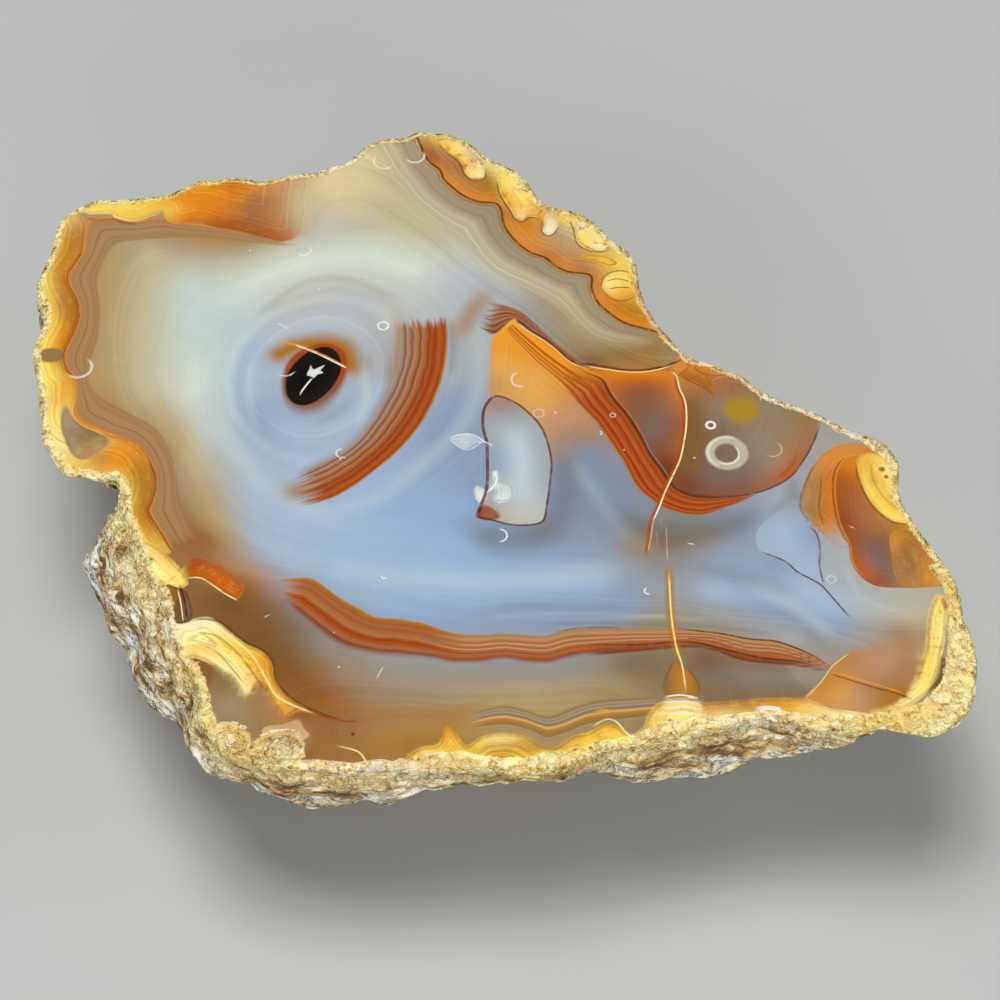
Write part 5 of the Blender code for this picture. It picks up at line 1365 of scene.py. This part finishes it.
@dataclass
class CutPainting:
    """Everything that is read off the drawing of the cut at given points."""

    raster: Raster = field(default_factory=Raster)
    layers: tuple[Layer, ...] = (
        Layer("rim", RIM_PATCHES), Layer("field", FIELD_PATCHES), Layer("top", TOP_PATCHES),
        Layer("crest", CREST_PATCHES, reach=3.0))
    rim_width: float = 0.5

    def read(self, x: np.ndarray, y: np.ndarray, inset: np.ndarray) -> dict[str, np.ndarray]:
        """Return the mesh attributes at points.

        Args:
            x: the points' x, in millimetres.
            y: the points' y, in millimetres.
            inset: distance from the edge of the cut, in millimetres, negative outside it.
        """
        whole = np.zeros((self.raster.rows, self.raster.columns), int)
        washes = self.raster.spread([(0, s) for s in GROUND], whole)
        rhythm = self.raster.spread([(0, s) for s in RHYTHM], whole, calm=60)
        crust = self.raster.spread([(0, s) for s in CRUST_TINTS], whole)
        level = self.raster.sample(rhythm, x, y)
        out = {
            "ground_colour": self.raster.sample(washes, x, y),
            "ground_form": np.c_[level, np.zeros(len(x))],
            "haze": HAZE.paint(x, y),
            "crust_colour": self.raster.sample(crust, x, y),
            "crust_form": self._crust(x, y, inset),
        }
        for layer in self.layers:
            out.update(layer.paint(self.raster, x, y))
        for band in BANDS:
            out[band.name] = band.paint(x, y)
        for ink in INKS:
            out[ink.name] = ink.paint(x, y)
        LOG.info("painting: %d points, %d attributes", len(x), len(out))
        return out

    def _crust(self, x: np.ndarray, y: np.ndarray, inset: np.ndarray) -> np.ndarray:
        """Return how far each point lies outside the crust, and its inset from the cut's edge."""
        _, away, _ = Layer("crust", CRUST_PATCHES, reach=6.0).depth(x, y)
        away = np.minimum(away, inset - self.rim_width)
        return np.stack([np.clip(away, -6, 6), np.clip(inset, -6, 6), x * 0], axis=1)


def placed(name: str, data: bpy.types.ID) -> bpy.types.Object:
    """Return a new object in the scene."""
    thing = bpy.data.objects.new(name, data)
    bpy.context.scene.collection.objects.link(thing)
    return thing


@dataclass
class StoneShape:
    """Fine closed mesh of the stone, made from a copy of its faceted solid.

    Args:
        step: spacing of the cut's cells, in millimetres.
        cuts: pieces more that each edge of the skin is cut into.
        pit: depth of the deepest pores in the crust on the cut, in millimetres.
        ridge: height of the skin's lumps, in millimetres.
    """

    step: float = 0.45
    cuts: int = 3
    pit: float = 0.55
    ridge: float = 0.85

    def build(self, node: bpy.types.Object) -> bpy.types.Object:
        """Return the stone as a new object.

        Args:
            node: the faceted solid, which stays as it is.
        """
        low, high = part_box("agate")
        bm = bmesh.new()
        bm.from_mesh(node.data)
        bmesh.ops.remove_doubles(bm, verts=bm.verts, dist=2e-6)
        bm.normal_update()
        level = high.z
        cut = [f for f in bm.faces if f.normal.z > 0.999 and f.calc_center_median().z > level - 1e-5]
        bmesh.ops.delete(bm, geom=cut, context="FACES_ONLY")
        inner = [e for e in bm.edges if not e.link_faces]
        bmesh.ops.delete(bm, geom=inner, context="EDGES")
        bmesh.ops.subdivide_edges(bm, edges=bm.edges[:], cuts=self.cuts, use_grid_fill=True)
        self._round_skin(bm)
        self._rough_skin(bm, low, high)
        rim = [e for e in bm.edges if e.is_boundary]
        for f in bm.faces:
            f.smooth = True
            f.material_index = 1
        face = bmesh.ops.contextual_create(bm, geom=rim)["faces"]
        for f in face:
            f.smooth = True
            f.material_index = 0
        self._dice(bm, face, low, high)
        bmesh.ops.triangulate(bm, faces=bm.faces[:])
        bmesh.ops.recalc_face_normals(bm, faces=bm.faces[:])
        mesh = bpy.data.meshes.new("stone")
        bm.to_mesh(mesh)
        bm.free()
        stone = placed("stone", mesh)
        LOG.info("stone: %d vertices, %d triangles", len(mesh.vertices), len(mesh.polygons))
        return stone

    @staticmethod
    def _round_skin(bm: bmesh.types.BMesh) -> None:
        """Round off the facets of the skin and the steps of the cut's edge."""
        loose = [v for v in bm.verts if not v.is_boundary]
        edge = [v for v in bm.verts if v.is_boundary]
        for _ in range(4):
            bmesh.ops.smooth_vert(bm, verts=loose, factor=0.5, use_axis_x=True, use_axis_y=True,
                                  use_axis_z=True)
        for _ in range(2):
            moved = {}
            for v in edge:
                ends = [e.other_vert(v).co for e in v.link_edges if e.is_boundary]
                moved[v] = v.co.lerp((ends[0] + ends[1]) / 2, 0.4)
            for v, co in moved.items():
                v.co.xy = co.xy

    def _rough_skin(self, bm: bmesh.types.BMesh, low: Vector, high: Vector) -> None:
        """Raise ledges, lumps and pores on the skin, within the solid's own box."""
        bm.normal_update()
        rest = low.z + 0.4 * MM
        for v in bm.verts:
            p = v.co / MM
            if v.is_boundary:
                chip = noise.noise(p * 0.9) * 0.28 + noise.noise(p * 0.35) * 0.2
                v.co.xy -= Vector((v.normal.x, v.normal.y)).normalized() * (0.12 + abs(chip)) * MM
                continue
            depth = (high.z - v.co.z) / MM
            share = min(depth / 1.2, 1.0) * min(max(v.co.z - rest, 0.0) / (2 * MM), 1.0)
            wrap = Vector((p.x * 0.16, p.y * 0.16, p.z * 0.62))
            ledge = noise.ridged_multi_fractal(wrap, 1.0, 2.1, 4, 1.0, 2.0) - 1.1
            lump = noise.fractal(p * 0.22, 1.0, 2.0, 3)
            grain = noise.fractal(p * 1.1, 0.9, 2.2, 3)
            pore = max(noise.noise(p * 0.75 + Vector((7, 3, 1))) - 0.28, 0.0)
            rise = self.ridge * (0.45 * ledge + 0.5 * lump + 0.22 * grain) - 1.6 * pore - 0.35
            v.co += v.normal * share * max(min(rise, 1.2), -1.8) * MM
        for v in bm.verts:
            for k in range(3):
                v.co[k] = min(max(v.co[k], low[k]), high[k])

    def _dice(self, bm: bmesh.types.BMesh, faces: list, low: Vector, high: Vector) -> None:
        """Cut the flat face into small cells, first by planes across x and then by planes across y."""
        for axis in (0, 1):
            work = list(faces)
            done = []
            count = int((high[axis] - low[axis]) / (self.step * MM))
            for k in range(1, count + 1):
                at = low[axis] + k * self.step * MM
                ahead = []
                for f in work:
                    (ahead if max(v.co[axis] for v in f.verts) > at else done).append(f)
                if not ahead:
                    break
                geometry = set(ahead)
                for f in ahead:
                    geometry.update(f.edges)
                    geometry.update(f.verts)
                normal = Vector((1, 0, 0)) if axis == 0 else Vector((0, 1, 0))
                point = normal * at
                cut = bmesh.ops.bisect_plane(bm, geom=list(geometry), dist=1e-7, plane_co=point,
                                             plane_no=normal)
                work = [g for g in cut["geom"] if isinstance(g, bmesh.types.BMFace) and g.normal.z > 0.99]
            faces = [f for f in done + work if f.is_valid]


@dataclass
class StoneDressing:
    """Writes the drawing of the cut, the relief of its crust and the map for its texture onto the mesh."""

    painting: CutPainting
    shape: StoneShape

    def dress(self, stone: bpy.types.Object) -> None:
        """Give the stone its attributes, the crust's relief and its texture map."""
        mesh = stone.data
        co = np.zeros(len(mesh.vertices) * 3, np.float32)
        mesh.vertices.foreach_get("co", co)
        co = co.reshape(-1, 3).astype(float) / MM
        on_cut = co[:, 2] > THICKNESS - 1e-3
        inset = self._inset(mesh, co, on_cut)
        data = self.painting.read(co[:, 0], co[:, 1], inset)
        for name, rows in data.items():
            kind = "FLOAT_COLOR" if name.endswith("_colour") else "FLOAT_VECTOR"
            layer = mesh.attributes.new(name, kind, "POINT")
            if kind == "FLOAT_COLOR":
                rows = np.c_[rows, np.ones(len(rows))]
                layer.data.foreach_set("color", rows.astype(np.float32).ravel())
            else:
                layer.data.foreach_set("vector", rows.astype(np.float32).ravel())
        self._unwrap(mesh, co)
        self._sink_crust(mesh, co, on_cut, data["crust_form"])

    @staticmethod
    def _inset(mesh: bpy.types.Mesh, co: np.ndarray, on_cut: np.ndarray) -> np.ndarray:
        """Return each vertex's distance inside the real edge of the cut."""
        pairs = np.zeros(len(mesh.edges) * 2, np.int32)
        mesh.edges.foreach_get("vertices", pairs)
        pairs = pairs.reshape(-1, 2)
        mixed = on_cut[pairs[:, 0]] != on_cut[pairs[:, 1]]
        border = np.unique(pairs[mixed][on_cut[pairs[mixed]]])
        points = co[border][:, :2]
        inset = np.zeros(len(co))
        batch = 4000
        for start in range(0, len(co), batch):
            part = co[start:start + batch, :2]
            gap = ((part[:, None, :] - points[None, :, :]) ** 2).sum(-1).min(1)
            inset[start:start + batch] = np.sqrt(gap)
        return np.where(on_cut, inset, -inset)

    def _sink_crust(self, mesh: bpy.types.Mesh, co: np.ndarray, on_cut: np.ndarray,
                    crust: np.ndarray) -> None:
        """Lower the crust on the cut: pores, ledges and a worn edge."""
        chosen = np.nonzero(on_cut & (crust[:, 0] < 0.1))[0]
        for i in chosen:
            p = Vector(co[i])
            into = min(max(0.1 - crust[i, 0], 0.0) / 0.9, 1.0)
            worn = max(0.5 - crust[i, 1], 0.0) * 0.25
            pore = max(noise.fractal(p * 0.8, 0.9, 2.1, 3) + 0.12, 0.0) * 1.1
            ledge = max(noise.noise(Vector((p.x * 0.25, p.y * 0.7, 3.0))), 0.0) * 0.5
            co[i, 2] -= into * min(pore + ledge, 1.0) * self.shape.pit + worn
        mesh.vertices.foreach_set("co", (co * MM).astype(np.float32).ravel())
        mesh.update()

    @staticmethod
    def _unwrap(mesh: bpy.types.Mesh, co: np.ndarray) -> None:
        """Lay the cut flat in the map's upper part and the skin as a strip below it."""
        kind = np.zeros(len(mesh.polygons), np.int32)
        mesh.polygons.foreach_get("material_index", kind)
        plane = kind == 0
        corners = np.zeros(len(mesh.loops), np.int32)
        mesh.loops.foreach_get("vertex_index", corners)
        corners = corners.reshape(-1, 3)
        x, y, z = co[corners][:, :, 0], co[corners][:, :, 1], co[corners][:, :, 2]
        scale, margin, left, near, cut_foot = 0.0078, 0.005, -52.5, -45, 0.215
        u_cut, v_cut = (x - left) * scale + margin, (y - near) * scale + cut_foot
        turn = np.arctan2(y, x) / (2 * np.pi) + 0.5
        wraps = (turn.max(1) - turn.min(1)) > 0.5
        turn = np.where(wraps[:, None] & (turn < 0.5), turn + 1.0, turn)
        fall = np.arctan2(THICKNESS - z, np.hypot(x, y)) / (np.pi / 2)
        strip_width, strip_height, strip_top = 0.98, 0.19, 0.2
        u_skin, v_skin = turn * strip_width + margin, strip_top - fall * strip_height
        u = np.where(plane[:, None], u_cut, u_skin)
        v = np.where(plane[:, None], v_cut, v_skin)
        layer = mesh.uv_layers.new(name="OFBake")
        layer.data.foreach_set("uv", np.stack([u, v], axis=-1).astype(np.float32).ravel())


class Graph:
    """Short hand for building a material's nodes."""

    def __init__(self, tree: bpy.types.NodeTree) -> None:
        """Start with an empty tree."""
        self.tree = tree
        tree.nodes.clear()

    def add(self, kind: str, feeds: dict | None = None, **settings: object) -> bpy.types.Node:
        """Add a node.

        Args:
            kind: the node's type.
            feeds: what goes into its inputs, each under its number or name.
            settings: its properties.
        """
        node = self.tree.nodes.new(kind)
        for name, value in settings.items():
            setattr(node, name, value)
        for key, value in (feeds or {}).items():
            self.put(value, node.inputs[key])
        return node

    def put(self, value: object, socket: Socket) -> None:
        """Link a socket, or set a tint or another constant."""
        if isinstance(value, Socket):
            self.tree.links.new(value, socket)
        else:
            socket.default_value = value.rgba() if isinstance(value, Tint) else value

    def math(self, operation: str, *values: object) -> Socket:
        """Return the result of a math node."""
        return self.add("ShaderNodeMath", dict(enumerate(values)), operation=operation).outputs[0]

    def plus(self, one: object, other: object) -> Socket:
        """Return a sum."""
        return self.math("ADD", one, other)

    def minus(self, one: object, other: object) -> Socket:
        """Return a difference."""
        return self.math("SUBTRACT", one, other)

    def times(self, one: object, other: object) -> Socket:
        """Return a product."""
        return self.math("MULTIPLY", one, other)

    def vector(self, operation: str, *values: object) -> bpy.types.Node:
        """Return a vector math node."""
        return self.add("ShaderNodeVectorMath", dict(enumerate(values)), operation=operation)

    def scaled(self, vector: object, factor: object) -> Socket:
        """Return a colour or a place times a number."""
        return self.add("ShaderNodeVectorMath", {0: vector, "Scale": factor}, operation="SCALE").outputs[0]

    def smooth(self, value: object, low: float, high: float) -> Socket:
        """Return a smooth rise from 0 at low to 1 at high; a fall if high is the smaller of the two."""
        ends = (low, high, 0.0, 1.0) if low <= high else (high, low, 1.0, 0.0)
        feeds = dict(zip(("Value", "From Min", "From Max", "To Min", "To Max"), (value, *ends)))
        return self.add("ShaderNodeMapRange", feeds, interpolation_type="SMOOTHSTEP").outputs[0]

    def mix(self, share: object, below: object, above: object) -> Socket:
        """Return a colour mixed from two."""
        feeds = {0: share, 6: below, 7: above}
        return self.add("ShaderNodeMix", feeds, data_type="RGBA", clamp_factor=True).outputs[2]

    def lerp(self, share: object, below: object, above: object) -> Socket:
        """Return a number between two."""
        return self.add("ShaderNodeMix", {0: share, 2: below, 3: above}, data_type="FLOAT").outputs[0]

    def attribute(self, name: str, output: str = "Color") -> Socket:
        """Return a mesh attribute."""
        return self.add("ShaderNodeAttribute", attribute_name=name, attribute_type="GEOMETRY").outputs[output]

    def parts(self, name: str) -> list[Socket]:
        """Return the three numbers of a mesh attribute."""
        return list(self.add("ShaderNodeSeparateXYZ", {0: self.attribute(name, "Vector")}).outputs)

    def noise(self, where: object, scale: float, detail: float = 2.0, rough: float = 0.5,
              dimensions: str = "3D") -> Socket:
        """Return a noise, about 0.5 in the middle."""
        place = "W" if dimensions == "1D" else "Vector"
        feeds = {place: where, "Scale": scale, "Detail": detail, "Roughness": rough}
        return self.add("ShaderNodeTexNoise", feeds, noise_dimensions=dimensions).outputs[0]

    def sway(self, *settings: object) -> Socket:
        """Return a noise, about 0 in the middle."""
        return self.minus(self.noise(*settings), 0.5)

    def ramp(self, value: object, stops: tuple[tuple[float, Tint], ...]) -> Socket:
        """Return a colour from a ramp of tints."""
        node = self.add("ShaderNodeValToRGB", {0: value})
        elements = node.color_ramp.elements
        while len(elements) > 1:
            elements.remove(elements[-1])
        elements[0].position, elements[0].color = stops[0][0], stops[0][1].rgba()
        for at, tint in stops[1:]:
            elements.new(at).color = tint.rgba()
        return node.outputs[0]


@dataclass(frozen=True)
class AgateFinish:
    """Finish of the stone: glassy polish on the cut, dull porous crust and skin; the colours of crust and
    skin carry painted shade and painted highlights that follow their relief.

    Args:
        polish: roughness of the polished chalcedony under its gloss.
        crust: roughness of crust and skin.
        lines: strength of the growth lines.
    """

    polish: float = 0.35
    crust: float = 0.85
    lines: float = 0.55

    def cut(self) -> bpy.types.Material:
        """Return the material of the cut."""
        g, material, where, grain = self._start("agate_cut")
        wobble = g.sway(where, 0.4, 1.0)
        colour = self._chalcedony(g, where, wobble, grain)
        # Crust on the cut, with painted shade in its pores and folds and a painted highlight on its high
        # points.
        crust_colour, crust_height = self._crust(g, where, grain, 0.3)
        shell = g.parts("crust_form")[0]
        ragged = g.times(g.minus(grain, 0.5), 1.6)
        crusted = g.smooth(g.plus(shell, ragged), 0.12, -0.12)
        colour = g.mix(crusted, colour, crust_colour)
        shader = self._shader(g, colour, g.lerp(crusted, self.polish, self.crust), crust_height, 0.0)
        g.put(g.minus(1.0, crusted), shader.inputs["Coat Weight"])
        g.put(0.03, shader.inputs["Coat Roughness"])
        g.put(crusted, shader.inputs["Normal"].links[0].from_node.inputs["Strength"])
        return material

    def skin(self) -> bpy.types.Material:
        """Return the material of the rough skin."""
        g, material, where, grain = self._start("agate_skin")
        # Crust on the skin, with stronger painted shade in its folds and a painted highlight on its high
        # points.
        crust_colour, crust_height = self._crust(g, where, grain, 0.6)
        height = g.add("ShaderNodeSeparateXYZ", {0: where}).outputs[2]
        colour, relief = self._skin(g, where, crust_colour, height)
        self._shader(g, colour, self.crust, g.plus(g.times(crust_height, 0.7), relief), 0.2)
        return material

    @staticmethod
    def _start(name: str) -> tuple[Graph, bpy.types.Material, Socket, Socket]:
        """Return a graph in a new material, the place on the stone in millimetres, and its grain."""
        material = bpy.data.materials.new(name)
        material.use_nodes = True
        g = Graph(material.node_tree)
        where = g.scaled(g.add("ShaderNodeTexCoord").outputs["Object"], 1 / MM)
        return g, material, where, g.noise(where, 0.8, 4.0, 0.65)

    @staticmethod
    def _shader(g: Graph, colour: object, roughness: object, height: object, gloss: float) -> bpy.types.Node:
        """Return the surface shader, bumped by a height and linked to the output."""
        bump = g.add("ShaderNodeBump", {"Height": height, "Distance": 0.5 * MM})
        feeds = {"Base Color": colour, "Roughness": roughness, "Specular IOR Level": gloss}
        shader = g.add("ShaderNodeBsdfPrincipled", feeds | {"Normal": bump.outputs[0]})
        g.add("ShaderNodeOutputMaterial", {0: shader.outputs[0]})
        return shader

    def _chalcedony(self, g: Graph, where: object, wobble: object, grain: object) -> Socket:
        """Return the colour of the polished part."""
        level, strength, _ = g.parts("ground_form")
        drift = g.sway(where, 0.12, 2.0)
        level = g.plus(level, g.times(drift, 1.6))
        fine = g.sway(level, 2.6, 2.0, 0.7, "1D")
        broad = g.sway(level, 0.55, 0.0, 0.5, "1D")
        beat = g.plus(g.times(fine, 0.8), g.times(broad, 0.55))
        beat = g.times(g.times(beat, strength), self.lines)
        cloud = g.times(g.plus(drift, wobble), 0.08)
        colour = g.scaled(g.attribute("ground_colour"), g.plus(g.plus(1.0, beat), cloud))
        for share, tint in zip(g.parts("haze"), (Tint.CELADON, Tint.FLINT, Tint.SYRUP)):
            colour = g.mix(share, colour, tint)
        bands = {band.name: band for band in BANDS}
        for name in ("lip_hem", "left_hem", "waves", "red_band", "red_left", "red_right", "arc",
                     "brow_lines"):
            colour = self._band(g, wobble, colour, bands[name])
        colour = self._layer(g, wobble, grain, colour, "rim")
        for name in ("feather_lines", "under_band"):
            colour = self._band(g, wobble, colour, bands[name])
        for name in ("field", "top", "crest"):
            colour = self._layer(g, wobble, grain, colour, name)
        broken = g.lerp(g.smooth(grain, 0.38, 0.5), 0.6, 1.0)
        for ink in INKS:
            colour = self._ink(g, broken, colour, ink)
        for ring in RINGS:
            colour = self._ring(g, where, colour, ring)
        return colour

    @staticmethod
    def _layer(g: Graph, wobble: object, grain: object, below: object, name: str) -> Socket:
        """Lay a layer of patches over a colour."""
        faded, away, stripe = g.parts(f"{name}_form")
        mottle = g.parts(f"{name}_grain")[0]
        lines = g.sway(g.plus(away, g.times(wobble, 0.6)), 1.9, 2.0, 0.7, "1D")
        shade = g.plus(1.0, g.times(g.times(lines, stripe), 2.4))
        colour = g.scaled(g.attribute(f"{name}_colour"), shade)
        grain = g.plus(grain, g.times(lines, 0.35))
        colour = g.mix(g.times(g.smooth(grain, 0.5, 0.62), mottle), colour, Tint.YELLOW)
        dark = g.times(g.smooth(grain, 0.44, 0.34), g.times(mottle, 0.8))
        colour = g.mix(dark, colour, Tint.EMBER)
        return g.mix(g.smooth(faded, 1.0, -1.0), below, colour)

    @staticmethod
    def _band(g: Graph, wobble: object, below: object, band: Band) -> Socket:
        """Lay a striped band over a colour."""
        across, cover, along = g.parts(band.name)
        place = g.plus(across, g.times(wobble, 0.06))
        lines = g.sway(place, 13.0, 1.0, 0.6, "1D")
        colour = g.scaled(g.ramp(place, band.stops), g.plus(1.0, g.times(lines, 2 * band.lines)))
        ragged = g.plus(along, g.times(lines, 1.6))
        share = g.times(g.smooth(cover, 0.0, 1.0), g.smooth(along, 0.0, 0.4))
        share = g.times(share, g.smooth(ragged, 0.1, 0.9))
        return g.mix(g.times(share, band.strength), below, colour)

    @staticmethod
    def _ink(g: Graph, broken: object, below: object, ink: Ink) -> Socket:
        """Draw the veins of one ink over a colour."""
        signed, power, _ = g.parts(ink.name)
        shape = g.smooth(g.math("ABSOLUTE", signed), 1.0, 1.0 - ink.soft)
        return g.mix(g.times(g.times(shape, power), broken), below, ink.tint)

    @staticmethod
    def _ring(g: Graph, where: object, below: object, ring: Ring) -> Socket:
        """Draw a small ring, crescent or dot over a colour."""
        offset = g.vector("SUBTRACT", where, (ring.x, ring.y, THICKNESS)).outputs[0]
        length = g.vector("LENGTH", offset).outputs["Value"]
        gap = g.math("ABSOLUTE", g.minus(length, ring.radius))
        shape = g.smooth(gap, ring.half * 1.2, ring.half * 0.5)
        if ring.facing is not None:
            angle = math.radians(ring.facing)
            facing = (math.cos(angle), math.sin(angle), 0.0)
            unit = g.vector("NORMALIZE", offset).outputs[0]
            turn = g.vector("DOT_PRODUCT", unit, facing).outputs["Value"]
            shape = g.times(shape, g.smooth(turn, -0.2, 0.5))
        return g.mix(g.times(shape, ring.strength), below, ring.tint)

    @staticmethod
    def _crust(g: Graph, where: object, grain: object, fold_shade: float) -> tuple[Socket, Socket]:
        """Return the crust's colour and its height for the bump; the colour carries painted shade in the low
        pores, painted shade of the given strength in the folds, and a painted highlight on the high points.
        """
        fine = g.noise(where, 1.7, 3.0, 0.7)
        height = g.plus(g.times(grain, 0.5), g.times(fine, 0.5))
        fold = g.math("ABSOLUTE", g.sway(where, 0.42, 3.0, 0.6))
        stain = g.smooth(g.noise(where, 0.16, 2.0), 0.48, 0.62)
        colour = g.mix(g.times(stain, 0.5), g.attribute("crust_colour"), Tint.GOLD)
        # Painted shade: the lower the relief, the darker the crust (wheat, then syrup in the pores).
        colour = g.mix(g.smooth(height, 0.52, 0.42), colour, Tint.WHEAT)
        colour = g.mix(g.times(g.smooth(height, 0.44, 0.36), 0.9), colour, Tint.SYRUP)
        # Painted shade in the folds of the relief.
        colour = g.mix(g.times(g.smooth(fold, 0.02, 0.004), fold_shade), colour, Tint.UMBER)
        # Painted highlight on the highest points of the relief.
        colour = g.mix(g.smooth(height, 0.54, 0.61), colour, Tint.IVORY)
        return colour, g.plus(height, g.times(g.smooth(fold, 0.0, 0.08), 0.4))

    @staticmethod
    def _skin(g: Graph, where: object, crust: object, height: object) -> tuple[Socket, Socket]:
        """Return the colour of the rough skin and its relief for the bump; the colour follows the relief,
        with painted shade in the hollows and folds and a painted highlight on the highest lumps.
        """
        feeds = {"Vector": where, "Scale": (0.45, 0.45, 1.5)}
        flow = g.add("ShaderNodeMapping", feeds, vector_type="POINT").outputs[0]
        coarse = g.noise(flow, 0.5, 5.0, 0.62)
        fold = g.math("ABSOLUTE", g.sway(flow, 0.75, 4.0, 0.6))
        # Painted shade and highlight: the colour runs with the relief, from dark in the hollows to white on
        # the highest lumps.
        colour = g.ramp(coarse, ((0.35, Tint.BARK), (0.4, Tint.TOFFEE), (0.44, Tint.BUFF), (0.475, Tint.SAND),
                                 (0.53, Tint.IVORY), (0.62, Tint.SNOW)))
        stain = g.times(g.smooth(g.noise(where, 0.2, 3.0), 0.54, 0.66), 0.5)
        colour = g.mix(stain, colour, Tint.WHEAT)
        # Painted shade in the folds.
        colour = g.mix(g.times(g.smooth(fold, 0.03, 0.004), 0.9), colour, Tint.SHADOW)
        edge = g.plus(height, g.times(g.minus(coarse, 0.5), 9.0))
        colour = g.mix(g.smooth(edge, THICKNESS - 3.4, THICKNESS - 1.4), colour, crust)
        return colour, g.plus(coarse, g.times(g.smooth(fold, 0.0, 0.1), 0.7))


@dataclass(frozen=True)
class Studio:
    """Pale floor, soft pale light and the camera.

    Args:
        distance: from the camera to the middle of the picture, in metres.
        elevation: how far the camera looks down, in degrees.
        target: what the camera looks at, in metres.
        lens: focal length, in millimetres.
    """

    distance: float = 0.350
    elevation: float = 52.0
    target: tuple[float, float, float] = (0.005, -0.0055, 0.0265)
    lens: float = 110.0

    def floor(self) -> None:
        """Lay the floor."""
        bm = bmesh.new()
        bmesh.ops.create_grid(bm, x_segments=1, y_segments=1, size=3.0)
        mesh = bpy.data.meshes.new("floor")
        bm.to_mesh(mesh)
        bm.free()
        plane = placed("floor", mesh)
        material = bpy.data.materials.new("floor")
        material.use_nodes = True
        shader = material.node_tree.nodes["Principled BSDF"]
        shader.inputs["Base Color"].default_value = (0.5, 0.51, 0.52, 1)
        shader.inputs["Roughness"].default_value = 0.8
        mesh.materials.append(material)

    def lamp(self, name: str, at: tuple[float, float, float], size: float, watts: float,
             tone: tuple[float, float, float]) -> None:
        """Hang a square soft light that looks at the stone."""
        data = bpy.data.lights.new(name, "AREA")
        data.shape = "SQUARE"
        data.size = size
        data.energy = watts
        data.color = tone
        lamp = placed(name, data)
        lamp.location = at
        lamp.rotation_euler = (-Vector(at)).to_track_quat("-Z", "Y").to_euler()

    def light(self) -> None:
        """Set the lights and the pale surroundings."""
        self.lamp("overhead", (-0.1, 0.06, 0.95), 0.5, 6.9, (1.0, 0.985, 0.93))
        self.lamp("front", (0.15, -0.9, 0.2), 0.6, 4.4, (1.0, 0.99, 0.96))
        self.lamp("front_left", (-0.7, -0.55, 0.4), 0.5, 2.0, (1.0, 0.99, 0.97))
        self.lamp("right", (0.8, -0.1, 0.5), 0.5, 1.2, (1.0, 0.99, 0.98))
        world = bpy.data.worlds.new("studio")
        world.use_nodes = True
        world.node_tree.nodes["Background"].inputs[0].default_value = (0.97, 0.98, 1.0, 1)
        world.node_tree.nodes["Background"].inputs[1].default_value = 0.12
        bpy.context.scene.world = world
        bpy.context.scene.view_settings.view_transform = "Standard"

    def camera(self) -> None:
        """Place the camera."""
        data = bpy.data.cameras.new("camera")
        data.lens = self.lens
        data.sensor_width = 36.0
        data.clip_start = 0.01
        camera = placed("camera", data)
        angle = math.radians(self.elevation)
        back = Vector((0.0, -math.cos(angle), math.sin(angle)))
        camera.location = Vector(self.target) + back * self.distance
        camera.rotation_euler = (-back).to_track_quat("-Z", "Y").to_euler()
        bpy.context.scene.camera = camera

    def set_up(self) -> None:
        """Build the whole studio."""
        self.floor()
        self.light()
        self.camera()


def main() -> None:
    """Build the stone and its studio."""
    logging.basicConfig(level=logging.INFO, format="%(name)s: %(message)s")
    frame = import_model()
    shape = StoneShape()
    stone = shape.build(frame["nodes"]["agate"])
    StoneDressing(CutPainting(), shape).dress(stone)
    finish = AgateFinish()
    for material in (finish.cut(), finish.skin()):
        stone.data.materials.append(material)
    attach(stone, "root")
    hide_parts("agate")
    Studio().set_up()


if __name__ == "__main__":
    main()
